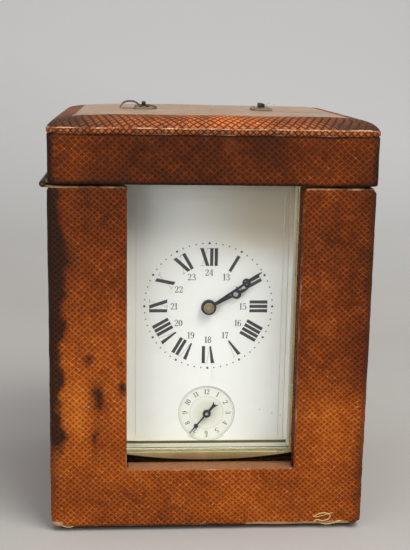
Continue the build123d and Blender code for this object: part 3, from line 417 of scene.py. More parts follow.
M = {
    "gilt": mat_metal("gilt_satin", GILT, 0.16, 0.36, "satin", (0.30, 0.20, 0.08), 0.02, edge=0.22),
    "sill": mat_metal("gilt_sill", [(0.30, (0.52, 0.48, 0.25)), (0.52, (0.70, 0.66, 0.38)), (0.75, (0.84, 0.80, 0.52))], 0.22, 0.42, "straight", (0.22, 0.19, 0.09), 0.02, edge=0.2, shade_bow=(23.5, 0.0026)),
    "plate": mat_metal("brass_grained", BRASS, 0.20, 0.38, "upright", (0.30, 0.19, 0.07), 0.0, edge=0.12),
    "barrel": mat_metal("brass_turned_barrel", BRASS, 0.16, 0.34, "turned", (0.30, 0.19, 0.07), 0.0, centre=(-10.8, 65.17)),
    "abarrel": mat_metal("brass_turned_alarm", BRASS, 0.16, 0.34, "turned", (0.30, 0.19, 0.07), 0.0, centre=(11.5, 45.0)),
    "wheel": mat_metal("brass_wheel", BRASS, 0.15, 0.30, "satin", (0.30, 0.19, 0.07), -0.02, edge=0.06),
    "old": mat_metal("brass_aged", OLD, 0.32, 0.58, "satin", PATINA, 0.14, edge=0.15, bump=0.05, end=-55.5),
    "bronze": mat_metal("fitting_bronze_dark", [(0.30, (0.030, 0.021, 0.013)), (0.52, (0.070, 0.048, 0.026)), (0.78, (0.17, 0.12, 0.062))], 0.38, 0.60, "satin", (0.020, 0.013, 0.009), 0.12, edge=0.15, bump=0.05, low=(LTOP + 0.75, LTOP + 1.35, (0.30, 0.225, 0.15))),
    "steel": mat_metal("steel_polished", STEEL, 0.14, 0.30, "satin", (0.16, 0.13, 0.10), -0.06, edge=0.06),
    "bell": mat_metal("bell_turned", BELL, 0.18, 0.34, "turned", (0.22, 0.18, 0.13), 0.0, centre=(0.0, 20.0), edge=0.1),
    "blue": mat_metal("steel_blued", BLUE, 0.22, 0.38, "satin", None, 0.0, edge=0.10),
    "pin": mat_metal("steel_old", [(0.3, (0.06, 0.048, 0.040)), (0.55, (0.12, 0.10, 0.085)), (0.75, (0.22, 0.19, 0.165))], 0.35, 0.55, "satin", (0.10, 0.05, 0.025), 0.1),
    "nut": mat_metal("brass_nut_dark", [(0.3, (0.22, 0.17, 0.10)), (0.52, (0.40, 0.33, 0.20)), (0.75, (0.60, 0.53, 0.36))], 0.20, 0.40, "turned", (0.10, 0.08, 0.05), 0.02, centre=(CX, CZ), edge=0.2),
    "glass": mat_glass(),
    "enamel": mat_enamel(),
    "wood": mat_wood(),
    "leather": mat_leather("leather_net_body", 2.20, 2.02, net_gain=0.88),
    "leather_lid": mat_leather("leather_net_lid", 2.42, 2.24, net_gain=0.62),
    "leather_border": mat_leather("leather_net_border", 2.30, 2.30, spec=0.10, rough_shift=0.0, painted_sheen=0.03, lines_dark=True),
    "leather_top": mat_leather("leather_net_top", 2.30, 2.30, spec=0.60, rough_shift=-0.10, painted_sheen=0.68, net_gain=0.6),
    "strap": mat_strap(),
    "thread": mat_thread(),
    "velvet": mat_velvet("velvet_plum", (0.022, 0.006, 0.016), (0.115, 0.030, 0.080)),
    "felt": mat_felt(),
    # painted reflections and painted shade, laid as strips on the front glass's bevel
    "arris": mat_print("glass_arris_painted_grey", (0.46, 0.48, 0.42), (0.62, 0.64, 0.58)),
    "painted_bevel_light": mat_print("glass_bevel_painted_white", (0.70, 0.72, 0.64), (0.84, 0.86, 0.80)),
    "painted_bevel_dark": mat_print("glass_bevel_painted_olive", (0.095, 0.092, 0.028), (0.20, 0.195, 0.080)),
    "painted_edge_shade": mat_print("glass_edge_painted_shade", (0.012, 0.014, 0.006), (0.035, 0.036, 0.018)),
    "ink": mat_print("dial_black", (0.006, 0.006, 0.008), (0.020, 0.020, 0.024)),
    "ink_grey": mat_print("dial_grey", (0.030, 0.030, 0.034), (0.075, 0.075, 0.080)),
    "ink_faint": mat_print("dial_faint", (0.30, 0.30, 0.27), (0.42, 0.42, 0.38)),
}

BY_SLOT = {"gilt_brass": "gilt", "brass": "wheel", "steel": "steel", "bell_steel": "bell", "blued_steel": "blue", "enamel": "enamel",
           "glass": "glass", "case_wood": "wood", "case_leather": "leather", "strap_leather": "strap", "velvet": "velvet", "felt": "felt"}
BY_NODE = {"front_sill": "sill", "front_plate": "plate", "back_plate": "plate", "plate_pillars": "plate", "platform_cocks": "plate",
           "time_barrel": "barrel", "alarm_barrel": "abarrel", "hinge_leaf_body": "old", "hinge_leaf_lid": "old", "catch_hook": "old",
           "catch_pivot": "old", "catch_stud": "old", "strap_staple_left": "bronze", "strap_staple_right": "bronze", "hinge_pin": "pin", "hand_nut": "nut"}
for part in frame["record"]["subparts"]:
    o = NODES[part["node"]]
    m = M[BY_NODE.get(part["node"], BY_SLOT[part["material_slot"]])]
    o.data.materials.clear()
    o.data.materials.append(m.m if isinstance(m, Mat) else m)
for name in ("front_glass", "side_glasses", "top_glass", "rear_door_glass"):
    NODES[name].visible_shadow = False


# ================================================================ mesh helpers
def new_object(name, mesh, mat, body, stands_for=(), smooth=True):
    o = bpy.data.objects.new(name, mesh)
    bpy.context.scene.collection.objects.link(o)
    if mat is not None:
        o.data.materials.clear()
        o.data.materials.append(M[mat] if isinstance(mat, str) else mat)
    if smooth:
        o.data.polygons.foreach_set("use_smooth", [True] * len(o.data.polygons))
    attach(o, body)
    if stands_for:
        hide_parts(*stands_for)
    return o


def mesh_of(name, verts, faces):
    me = bpy.data.meshes.new(name)
    me.from_pydata([tuple(float(c) * MM for c in v) for v in verts], [], [tuple(int(i) for i in f) for f in faces])
    me.update()
    return me


def baked(obj):
    """The mesh of obj with its modifiers applied; obj itself is removed."""
    bpy.context.view_layer.update()
    dg = bpy.context.evaluated_depsgraph_get()
    me = bpy.data.meshes.new_from_object(obj.evaluated_get(dg))
    bpy.data.objects.remove(obj)
    return me


def temp_object(me):
    o = bpy.data.objects.new("tmp", me)
    bpy.context.scene.collection.objects.link(o)
    return o


def co_of(me):
    a = np.zeros(len(me.vertices) * 3, np.float32)
    me.vertices.foreach_get("co", a)
    return a.reshape(-1, 3).astype(float) / MM


def set_co(me, co):
    me.vertices.foreach_set("co", (co * MM).astype(np.float32).ravel())
    me.update()


def normals_of(me):
    return np.array([v.normal for v in me.vertices], float).reshape(-1, 3)


def fac(me, name, values):
    a = me.attributes.get(name) or me.attributes.new(name, "FLOAT", "POINT")
    a.data.foreach_set("value", np.asarray(values, np.float32))


def nz(p, scale, seed=0.0):
    """Smooth noise, -1..1, at each point (mm) of an (n, 3) array."""
    q = np.asarray(p, float) * scale + seed
    return np.array([mn.noise(Vector(v)) for v in q])


def smoothstep(x, a, b):
    t = np.clip((np.asarray(x, float) - a) / (b - a), 0, 1)
    return t * t * (3 - 2 * t)


def interp(x, xs, ys):
    return np.interp(x, xs, ys)


def lines(marks, step, whole=3.6):
    """Marks with even divisions between them. The first and last spans stay whole if they are short, so that an edge can be rounded over them."""
    out = [marks[0]]
    last = len(marks) - 2
    for m, (a, b) in enumerate(zip(marks, marks[1:])):
        n = 1 if m in (0, last) and b - a < whole else max(1, int(round((b - a) / step)))
        out += [a + (b - a) * (i + 1) / n for i in range(n)]
    return out


# ================================================================ leather of the body
PERIM = 2 * (2 * HX + 2 * HY)


def around(x, y, hx=HX, hy=HY):
    """Distance round the outline from the middle of the front, positive to the right."""
    x, y = np.asarray(x, float), np.asarray(y, float)
    dx, dy = hx - np.abs(x), hy - np.abs(y)
    front = (dy <= dx) & (y < 0)
    back = (dy <= dx) & (y >= 0)
    right = (dy > dx) & (x >= 0)
    s = np.where(front, x, 0.0)
    s = np.where(right, hx + (y + hy), s)
    s = np.where((dy > dx) & (x < 0), -hx - (y + hy), s)
    s = np.where(back & (x >= 0), hx + 2 * hy + (hx - x), s)
    s = np.where(back & (x < 0), -hx - 2 * hy - (hx + x), s)
    return s


def body_leather():
    xs = lines([-HX, -52.2, -50.8, -SIDE_IN, -33.4, -30.55, WX0, WX1, 32.45, 35.3, SIDE_IN, 50.8, 52.2, HX], 1.25)
    ys = lines([-HY, -43.7, -HINGE_Y, -41.9, FRONT_IN, BACK_IN, HINGE_Y, 43.7, HY], 2.1)
    zs = lines([Z0, 2.95, FLOOR_IN, WZ - 0.9, WZ, 121.25, Z1], 1.25)
    xc, yc, zc = [np.array([(a + b) / 2 for a, b in zip(l, l[1:])]) for l in (xs, ys, zs)]
    X, Y, Z = np.meshgrid(xc, yc, zc, indexing="ij")
    lab = np.ones(X.shape, int)
    win = (X > WX0) & (X < WX1) & (Y < FRONT_IN) & (Z > WZ)
    cav = (np.abs(X) < SIDE_IN) & (Y > FRONT_IN) & (Y < BACK_IN) & (Z > FLOOR_IN)
    slotg = (Y > -43.7) & (Y < -41.9) & (Z > WZ) & (((X > -31.4) & (X <= WX0)) | ((X < 33.3) & (X >= WX1)))
    lab[win] = 3
    lab[cav] = 2
    lab[slotg] = 4
    pad = np.zeros([n + 2 for n in lab.shape], int)
    pad[1:-1, 1:-1, 1:-1] = lab
    index, verts, faces = {}, [], []

    def vid(i, j, k):
        key = (i, j, k)
        if key not in index:
            index[key] = len(verts)
            verts.append((xs[i], ys[j], zs[k]))
        return index[key]

    def quads(axis):
        a = np.moveaxis(pad, axis, 0)
        lo, hi = a[:-1], a[1:]
        for sign, cond in ((1, (lo == 1) & ((hi == 0) | (hi == 3))), (-1, (hi == 1) & ((lo == 0) | (lo == 3)))):
            for p, q, r in zip(*np.nonzero(cond)):
                others = [m for m in range(3) if m != axis]
                q, r = q - 1, r - 1
                quad = []
                for dq, dr in ((0, 0), (1, 0), (1, 1), (0, 1)):
                    g = [0, 0, 0]
                    g[axis], g[others[0]], g[others[1]] = p, q + dq, r + dr
                    quad.append(vid(*g))
                flip = (sign < 0) ^ (axis == 1)
                faces.append(quad[::-1] if flip else quad)

    for ax in range(3):
        quads(ax)
    me = mesh_of("case_leather_raw", verts, faces)
    bm = bmesh.new()
    bm.from_mesh(me)
    lay = bm.edges.layers.float.new("bevel_weight_edge")

    def near(a, b):
        return abs(a - b) < 0.01

    for e in bm.edges:
        if len(e.link_faces) != 2 or e.link_faces[0].normal.dot(e.link_faces[1].normal) > 0.5:
            continue
        x, y, z = [(a + b) / 2 / MM for a, b in zip(e.verts[0].co, e.verts[1].co)]
        w = 0.0
        if near(abs(x), HX) and near(abs(y), HY):
            w = 2.3
        elif near(z, Z0):
            w = 1.5
        elif near(z, Z1) and (near(x, WX0) or near(x, WX1)):
            w = 1.6
        elif near(z, Z1) and (near(abs(x), HX) or near(abs(y), HY)):
            w = 0.8
        elif near(y, -HY) and (near(x, WX0) or near(x, WX1)):
            w = 0.55
        elif near(y, -HY) and near(z, WZ):
            w = 0.6
        e[lay] = w / 2.3
    bm.to_mesh(me)
    bm.free()
    o = temp_object(me)
    b = o.modifiers.new("round", "BEVEL")
    b.limit_method, b.width, b.segments, b.offset_type, b.use_clamp_overlap = "WEIGHT", 2.3 * MM, 4, "OFFSET", False
    me = baked(o)

    # the hinge lies in a pocket in the left rim
    bm = bmesh.new()
    bm.from_mesh(me)
    gone = [f for f in bm.faces if (lambda c: c.x / MM < -50.8 and abs(c.y / MM) < HINGE_Y and c.z / MM > 122.25)(f.calc_center_median())]
    bmesh.ops.delete(bm, geom=gone, context="FACES")
    bmesh.ops.remove_doubles(bm, verts=bm.verts, dist=0.00002)
    bm.to_mesh(me)
    bm.free()

    co, nrm = co_of(me), normals_of(me)
    x, y, z = co.T
    # gentle unevenness of leather glued over board; edges knocked about a little more
    outer = (np.abs(x) > HX - 3.5) & (np.abs(y) > HY - 3.5) | (z < Z0 + 2) | (z > Z1 - 1)
    d = 0.10 * nz(co, 0.05, 3.1) + 0.07 * nz(co, 0.17, 8.0) + 0.035 * nz(co, 0.6, 1.7)
    d = d + 0.06 + np.where(outer, 0.12 * np.minimum(nz(co, 0.30, 5.0), 0.25) - 0.02, 0)
    d = np.where((np.abs(x) > HX - 4) & (z > Z0 + 1), d + 0.16 + smoothstep(-y, 35, 44) * np.where(x > 0, 0.62, 0.30), d)
    d = np.where((z > Z1 - 1.0), np.minimum(d, 0.05), d)
    win_edge = (y < FRONT_IN + 0.1) & (z > WZ - 0.7) & (x > WX0 - 0.7) & (x < WX1 + 0.7)
    d = np.where(win_edge, np.minimum(d, 0.03) * 0.5, d)
    # the lower left corner is worn back
    d -= 0.35 * np.exp(-(((x + 53) / 3.0) ** 2 + ((y + 46) / 3.0) ** 2 + ((z - 2.5) / 2.4) ** 2))
    inner = (z > FLOOR_IN + 1) & (np.abs(x) < 49.5) & (y > -39.9) & (y < 41.5)
    d[inner] = 0
    bottom = (z < Z0 + 0.02)
    d[bottom] = 0
    co2 = co + nrm * d[:, None]
    co2[:, 2] = np.maximum(co2[:, 2], Z0)
    set_co(me, co2)

    # ---------------- tone, stains and painted shade, wear
    front = (y < -HY + 3.3) & (z < Z1 + 0.1)
    # the tone changes with height, differently on the two rails
    left = interp(z, [0, 14, 34, 45, 56, 67, 77, 88, 103, 123], [0.62, 0.62, 0.73, 0.78, 0.70, 0.67, 0.66, 0.46, 0.42, 0.36])
    right = interp(z, [0, 14, 34, 45, 56, 67, 88, 123], [0.62, 0.67, 0.72, 0.65, 0.49, 0.45, 0.38, 0.38])
    mix = smoothstep(x, -25, 25)
    tone = left * (1 - mix) + right * mix
    side = ~front
    tone = np.where(side, 0.46 + 0.10 * nz(co, 0.02, 4.0) - 0.12 * smoothstep(z, 60, 123) * 0.5, tone)
    # local patches on the left rail
    for px, pz, rx, rz, a in ((-41, 66, 9, 12, 0.06), (-38.8, 48.5, 4, 8, -0.06), (-45, 46, 4, 9, 0.12), (-33, 42, 3, 9, 0.10), (-47, 40, 5, 10, 0.12), (-34, 20, 12, 6, 0.10), (39, 42, 8, 11, 0.10), (44, 30, 5, 8, 0.08),
                              (0, 9, 20, 5, 0.06), (-42, 110, 8, 10, -0.08), (-33, 84, 4, 12, 0.06), (36, 96, 4, 14, 0.05)):
        tone += np.where(front, a * np.exp(-((x - px) / rx) ** 2 - ((z - pz) / rz) ** 2), 0)
    xw, zw = x + 1.5 * nz(co, 0.24, 20.0), z + 2.2 * nz(co, 0.20, 30.0)
    stain_and_shade = np.zeros(len(co))
    # painted shade along the two rounded front edges, wider on the left: dark bands standing in for the shade that
    # falls on the rounded vertical edges
    painted_shade_left = smoothstep(xw, -48.8, -54.0) * interp(z, [0, 12, 26, 36, 48, 123], [0.18, 0.34, 0.52, 0.80, 0.95, 1.10])
    painted_shade_right = smoothstep(xw, 50.0, 54.2) * 0.56
    stain_and_shade += np.where(y < -HY + 5.5, painted_shade_left + painted_shade_right, 0)
    # painted shade along the rounded back vertical edges as well
    painted_shade_back_edges = smoothstep(np.abs(y), HY - 4.0, HY - 1.0) * smoothstep(np.abs(x), HX - 4.0, HX - 1.0)
    stain_and_shade += np.where(y > 0, 0.55 * painted_shade_back_edges, 0)
    for px, pz, rx, rz, a in ((-38.8, 49.4, 2.9, 7.0, 0.90), (-39.8, 34.0, 2.2, 5.0, 0.72), (-51.0, 35.0, 3.0, 3.4, 0.70), (-30.2, 52.0, 1.8, 4.0, 0.86), (-30.4, 62.0, 1.7, 2.8, 0.74),
                              (-51.0, 75.0, 3.6, 5.0, 0.62), (-52.0, 57.0, 2.8, 3.4, 0.60), (-50.8, 88.0, 3.4, 5.0, 0.60), (-50.4, 101.0, 3.8, 6.0, 0.55), (-36.8, 76.5, 2.2, 2.4, 0.46), (-36.6, 59.6, 0.9, 0.9, 0.60),
                              (-41.6, 63.5, 2.0, 2.4, 0.72), (-46.0, 97.0, 5.0, 9.0, 0.34), (-44.0, 120.5, 5.0, 2.4, 0.58), (-33.0, 104.0, 2.0, 6.0, 0.30),
                              (45.0, 75.0, 4.0, 12.0, 0.28), (35.5, 62.0, 1.6, 4.0, 0.32), (-20.0, 12.0, 9.0, 4.0, 0.26), (18.0, 8.0, 12.0, 3.0, 0.22), (46.0, 12.0, 5.0, 4.0, 0.36),
                              (-31.0, 28.0, 2.0, 4.0, 0.36), (-46.0, 14.0, 4.0, 4.0, 0.30)):
        stain_and_shade += np.where(front, a * np.exp(-((xw - px) / rx) ** 2 - ((zw - pz) / rz) ** 2), 0)
    # stains and scuffs on the other sides too
    for k in range(34):
        a = 7.13 * k
        px, py = 52 * math.sin(a * 1.7), 44 * math.cos(a * 2.3)
        pz = 8 + 108 * ((k * 0.618) % 1)
        r = 3 + 5 * ((k * 0.37) % 1)
        if k % 3 == 0:
            px = math.copysign(HX, px)
        elif k % 3 == 1:
            py = HY
        else:
            px = math.copysign(HX, math.sin(a))
        stain_and_shade += np.where(~front, (0.22 + 0.36 * ((k * 0.71) % 1)) * np.exp(-((xw - px) ** 2 + (y - py) ** 2) / r ** 2 - ((zw - pz) / (r * 1.5)) ** 2), 0)
    # the lowest 1.4 mm of the leather is darkened
    stain_and_shade = np.where(z < Z0 + 1.4, np.maximum(stain_and_shade, 0.50), stain_and_shade)
    worn = np.zeros(len(co))
    n1 = nz(co, 0.22, 2.0)
    rim = smoothstep(z, Z1 - 1.1, Z1 - 0.25)
    worn = np.maximum(worn, rim * (0.62 + 0.35 * n1))
    # front edges of the window
    we = np.minimum(np.abs(x - WX0), np.abs(x - WX1))
    worn = np.maximum(worn, np.where((y < -HY + 0.8) & (z > WZ), (1 - smoothstep(we, 0.0, 0.75)) * (0.42 + 0.45 * n1), 0))
    worn = np.maximum(worn, np.where((y < -HY + 0.9) & (x > WX0) & (x < WX1), (1 - smoothstep(np.abs(z - WZ), 0.0, 0.8)) * (0.55 + 0.4 * n1), 0))
    worn = np.maximum(worn, smoothstep(np.abs(x), HX - 2.0, HX - 0.6) * smoothstep(np.abs(y), HY - 2.0, HY - 0.6) * (0.05 + 0.45 * nz(co, 0.12, 6.0)))
    low = 1 - smoothstep(z, Z0 + 0.9, Z0 + 2.2)
    worn = np.maximum(worn, low * np.where((x > 14) & (x < 52), 0.80, 0.30) + low * 0.3 * n1)
    for px, pz, rx, rz, a in ((-53.0, 2.6, 2.6, 1.9, 0.95), (-50.0, 1.6, 3.6, 0.9, 0.8), (50.9, 20.3, 0.7, 0.4, 0.9), (51.6, 12.6, 0.7, 0.4, 0.9), (32.6, 24.6, 1.0, 1.0, 0.7), (29.4, 33.0, 0.5, 0.8, 0.7), (47.0, 3.4, 3.0, 1.0, 0.6)):
        worn = np.maximum(worn, np.where(y < -HY + 3.5, a * np.exp(-((x - px) / rx) ** 2 - ((z - pz) / rz) ** 2), 0))
    on_sill = (x > WX0 + 0.05) & (x < WX1 - 0.05) & (y > -HY + 0.35) & (y < FRONT_IN + 0.1) & (np.abs(z - WZ) < 0.8)
    suede = np.where(on_sill, 1.0, 0.0)
    worn = np.where(on_sill, 0, worn)
    fac(me, "tone", np.clip(tone, 0, 1))
    fac(me, "stain_and_shade", np.clip(stain_and_shade, 0, 1.2))
    fac(me, "worn", np.clip(worn, 0, 1))
    fac(me, "suede", suede)

    # ---------------- the net's own coordinates, one pair for each face corner
    at = me.attributes.new("net", "FLOAT_VECTOR", "CORNER")
    net = np.zeros((len(me.loops), 3), np.float32)
    for p in me.polygons:
        c = p.center / MM
        n = p.normal
        idx = list(p.loop_indices)
        pts = co[[me.loops[i].vertex_index for i in idx]]
        fx, fy, fz = pts.T
        if abs(n.z) > 0.8 and c.z > Z1 - 1.0:                       # rim
            depth = np.minimum(HX - np.abs(fx), HY - np.abs(fy))
            if abs(c.y) > HY - 7.3:
                depth, u = HY - np.abs(fy), fx * (1 if c.y < 0 else -1)
            else:
                depth, u = HX - np.abs(fx), fy * (1 if c.x > 0 else -1)
            v = Z1 + depth
        elif abs(n.z) > 0.8:
            u, v = fx, -fy * (1 if n.z > 0 else -1) + WZ
        elif c.y < FRONT_IN + 0.2 and -34 < c.x < 36 and c.z > WZ - 0.7:
            if c.x < 0 and c.x > WX0 - 1.0:
                u, v = fx + (fy + HY), fz
            elif c.x > 0 and c.x < WX1 + 1.0:
                u, v = fx - (fy + HY), fz
            else:
                u, v = fx, fz
        else:
            s0 = float(around(c.x, c.y))
            u = around(fx, fy)
            u = np.where(u - s0 > PERIM / 2, u - PERIM, np.where(s0 - u > PERIM / 2, u + PERIM, u))
            v = fz
        net[idx, 0], net[idx, 1] = u, v
    at.data.foreach_set("vector", net.ravel())
    o = temp_object(me)
    s = o.modifiers.new("skin", "SOLIDIFY")
    s.thickness, s.offset, s.use_even_offset = (SKIN - 0.1) * MM, -1.0, True
    me = baked(o)
    return new_object("case_leather_skin", me, "leather", "root", ("case_leather",))


body_skin = body_leather()


# ================================================================ leather of the lid
def loop_points(hx, hy, r, nx=88, ny=76, nc=7, marks=None):
    """Points round a rounded rectangle, counter-clockwise from above, starting at the left end of the front side."""
    r = max(0.02, min(r, hx - 0.01, hy - 0.01))
    pts = []
    def straight(a, b, n):
        for i in range(n):
            t = i / n
            pts.append((a[0] + (b[0] - a[0]) * t, a[1] + (b[1] - a[1]) * t))
    def corner(cx, cy, a0):
        for i in range(nc):
            a = a0 + math.pi / 2 * i / nc
            pts.append((cx + r * math.cos(a), cy + r * math.sin(a)))
    straight((-hx + r, -hy), (hx - r, -hy), nx)
    corner(hx - r, -hy + r, -math.pi / 2)
    straight((hx, -hy + r), (hx, hy - r), ny)
    corner(hx - r, hy - r, 0)
    straight((hx - r, hy), (-hx + r, hy), nx)
    corner(-hx + r, hy - r, math.pi / 2)
    straight((-hx, hy - r), (-hx, -hy + r), ny)
    corner(-hx + r, -hy + r, math.pi)
    return np.array(pts)


def loop_lengths(p):
    q = np.vstack([p, p[:1]])
    return np.concatenate([[0], np.cumsum(np.linalg.norm(np.diff(q, axis=0), axis=1))])


def lid_leather():
    R = 2.9
    rings = []      # half sizes, radius, z, kind, unrolled half sizes
    prof = [(6.0, LZ0), (4.0, LZ0), (2.0, LZ0), (0.9, LZ0 + 0.02), (0.45, LZ0 + 0.10), (0.15, LZ0 + 0.35), (0.0, LZ0 + 0.8)]
    zs = list(np.linspace(LZ0 + 1.9, LSEAM - 0.9, 13))
    prof += [(0.0, z) for z in zs]
    prof += [(0.02, LSEAM - 0.35), (0.16, LSEAM - 0.12), (0.20, LSEAM + 0.02), (0.0, LSEAM + 0.10), (-0.20, LSEAM + 0.24), (-0.29, LSEAM + 0.5), (-0.30, LSEAM + 1.1), (-0.29, LEDGE - 0.45), (-0.20, LEDGE - 0.14)]
    n_side = len(prof)
    arc = 0.0
    border = [(-0.02, LEDGE + 0.02), (0.35, LEDGE + 0.52), (0.85, LEDGE + 1.08), (1.5, LEDGE + 1.66), (2.4, LEDGE + 2.28), (3.4, LEDGE + 2.80), (4.5, LEDGE + 3.24), (5.7, LEDGE + 3.58), (6.8, LEDGE + 3.82),
              (7.7, LEDGE + 3.96), (8.3, LEDGE + 4.04), (8.55, LEDGE + 3.98), (8.72, LEDGE + 3.84), (8.9, LEDGE + 3.80), (9.1, LEDGE + 3.86), (9.4, LEDGE + 4.02), (10.2, LEDGE + 4.06)]
    top = [(i, LTOP - 0.04) for i in (12.0, 14.0, 16.5, 19.5, 23.0, 27.0, 31.0, 35.5, 40.0, 44.0)]
    prof += border + top
    base_in = 8.9
    verts, faces, net = [], [], []
    loops, lens, unroll = [], [], []
    d_acc = {}
    # unrolled distance of each top ring from the tooled line
    pts2 = prof[n_side:]
    lengths = [0.0]
    for a, b in zip(pts2, pts2[1:]):
        lengths.append(lengths[-1] + math.hypot(a[0] - b[0], a[1] - b[1]))
    j0 = min(range(len(pts2)), key=lambda i: abs(pts2[i][0] - base_in))
    for n, (i, z) in enumerate(prof):
        hx, hy = LHX - i, LHY - i
        r = R if i <= 0 else (R - 0.45 * i if n < n_side else R + 0.35 * min(i, 9))
        p = loop_points(hx, hy, r)
        loops.append(np.column_stack([p, np.full(len(p), z)]))
        lens.append(loop_lengths(loop_points(LHX, LHY, R)))
        if n >= n_side:
            dd = lengths[j0] - lengths[n - n_side]
            unroll.append(loop_points(LHX - base_in + dd, LHY - base_in + dd, max(0.1, r + dd)))
        else:
            unroll.append(None)
    N = len(loops[0])
    for l in loops:
        verts += [tuple(v) for v in l]
    L = lens[0][-1]
    for n in range(len(loops) - 1):
        for j in range(N):
            k = (j + 1) % N
            faces.append((n * N + j, n * N + k, (n + 1) * N + k, (n + 1) * N + j))
            if n + 1 < n_side + 1 and n < n_side:
                s0, s1 = lens[0][j] - LHX + R, lens[0][j + 1] - LHX + R
                za, zb = prof[n][1] - (6.0 - prof[n][0] if n < 3 else 0) * 0, prof[n + 1][1]
                if n < 3:
                    za, zb = LZ0 - prof[n][0], LZ0 - prof[n + 1][0]
                net += [(s0, za, 0), (s1, za, 0), (s1, zb, 0), (s0, zb, 0)]
            else:
                a, b = unroll[n], unroll[n + 1]
                net += [(a[j][0], a[j][1], 0), (a[k][0], a[k][1], 0), (b[k][0], b[k][1], 0), (b[j][0], b[j][1], 0)]
    last = (len(loops) - 1) * N
    faces.append(tuple(last + j for j in range(N)))
    net += [(unroll[-1][j][0], unroll[-1][j][1], 0) for j in range(N)]
    me = mesh_of("lid_leather_raw", verts, faces)
    at = me.attributes.new("net", "FLOAT_VECTOR", "CORNER")
    at.data.foreach_set("vector", np.array(net, np.float32).ravel())
    bm = bmesh.new()
    bm.from_mesh(me)
    gone = [f for f in bm.faces if (lambda c: c.x / MM < -50.8 and abs(c.y / MM) < HINGE_Y and c.z / MM < LZ0 + 0.85)(f.calc_center_median())]
    bmesh.ops.delete(bm, geom=gone, context="FACES")
    bm.to_mesh(me)
    bm.free()
    co, nrm = co_of(me), normals_of(me)
    x, y, z = co.T
    flat = (z > LTOP - 0.3) & (np.abs(x) < LHX - 10) & (np.abs(y) < LHY - 10)
    d = 0.13 * nz(co, 0.045, 7.7) + 0.09 * nz(co, 0.16, 2.2) + 0.04 * nz(co, 0.55, 9.1)
    d = np.minimum(d - 0.10, -0.004)
    lip = (z > LSEAM + 0.05) & (z < LEDGE + 0.1)
    d += np.where(lip, 0.10 * nz(co, 0.5, 4.0) - 0.03, 0)
    d = np.where(flat, np.clip(d, -0.12, 0) * 0.6, d)
    d = np.where(z < LZ0 + 0.02, 0, d)
    # corners of the top rubbed down
    cr = smoothstep(np.abs(x), LHX - 5, LHX - 0.5) * smoothstep(np.abs(y), LHY - 5, LHY - 0.5) * (z > LSEAM)
    d -= 0.35 * cr
    # the padded shoulders stand a little lower than the middle, and the front edges are bruised outward
    over_x = LHX - np.abs(x)
    d -= np.where(z > LEDGE + 0.3, smoothstep(over_x, 1.0, 6.0) * (1 - smoothstep(over_x, 9.0, 23.0)) * np.where(x < 0, 0.42, 0.22), 0)
    d = np.maximum(d, -0.62)
    co2 = co + nrm * d[:, None]
    # the lip wavers a little in height
    wav = 0.16 * nz(np.column_stack([around(x, y, LHX, LHY), np.zeros(len(co)), np.zeros(len(co))]), 0.11, 1.3) + 0.07 * nz(np.column_stack([around(x, y, LHX, LHY), np.zeros(len(co)), np.zeros(len(co))]), 0.5, 5.3)
    co2[:, 2] += np.where((z > LSEAM - 0.5) & (z < LEDGE + 0.6), wav, 0)
    co2[:, 2] = np.maximum(co2[:, 2], LZ0)
    co2[:, 0] += smoothstep(-y, 30, 44) * np.where(x > 0, 0.50, 0.25) * smoothstep(np.abs(x), 40, 52)
    set_co(me, co2)
    side = z < LSEAM + 0.05
    lipb = (z >= LSEAM + 0.05) & (z <= LEDGE + 0.05)
    pill = (z > LEDGE + 0.05) & ~flat
    tone = np.where(side, interp(x, [-55, -46, -30, 5, 40, 55], [0.22, 0.40, 0.24, 0.20, 0.35, 0.34]), 0.34)
    tone = np.where(lipb, 0.50 + 0.20 * nz(co, 0.12, 3.0), tone)
    # painted highlight: the front of the padded border is made lighter towards its middle and darker towards its ends
    tone = np.where(pill, 0.36 - 0.26 * smoothstep(-y, 20, 40) + 0.18 * nz(co, 0.06, 5.0) + (0.20 + 0.40 * smoothstep(-y, 20, 40)) * np.exp(-((x - 2) / 36) ** 2), tone)
    tone = np.where(flat, 0.50 + 0.14 * nz(co, 0.04, 6.0), tone)
    tone = np.where(side & (y > -LHY + 3), 0.42 + 0.1 * nz(co, 0.03, 2.0), tone)
    stain_and_shade = np.zeros(len(co))
    # painted shade on the lid's rounded vertical corners and along the rounded lower edge of its sides over the joint
    stain_and_shade += smoothstep(np.abs(x), LHX - 3.5, LHX - 1.0) * smoothstep(np.abs(y), LHY - 3.5, LHY - 1.0) * side * 0.55
    stain_and_shade += np.where(side, (1 - smoothstep(z, LZ0 + 0.3, LZ0 + 2.0)) * 0.62, 0)
    stain_and_shade += np.where(side, np.clip(0.26 + 0.5 * nz(co, 0.09, 11.0), 0, 0.6) * 0.7, 0)
    stain_and_shade += np.where(np.abs(z - LSEAM + 0.15) < 0.25, 0.55, 0)
    stain_and_shade += np.where(pill, np.clip(0.10 + 0.75 * nz(co, 0.13, 12.0), 0, 0.7) * 0.7, 0)
    groove = (z > LTOP - 0.5) & (np.minimum(LHX - np.abs(x), LHY - np.abs(y)) > 8.4) & (np.minimum(LHX - np.abs(x), LHY - np.abs(y)) < 9.3)
    stain_and_shade += np.where(groove, np.where(y < -30, 0.42, 0.16), 0)
    # painted shade at the front corners of the padded border
    stain_and_shade += np.where(pill, 0.48 * smoothstep(np.abs(x), 32, 50) * smoothstep(-y, 26, 40), 0)
    n1 = nz(co, 0.2, 3.3)
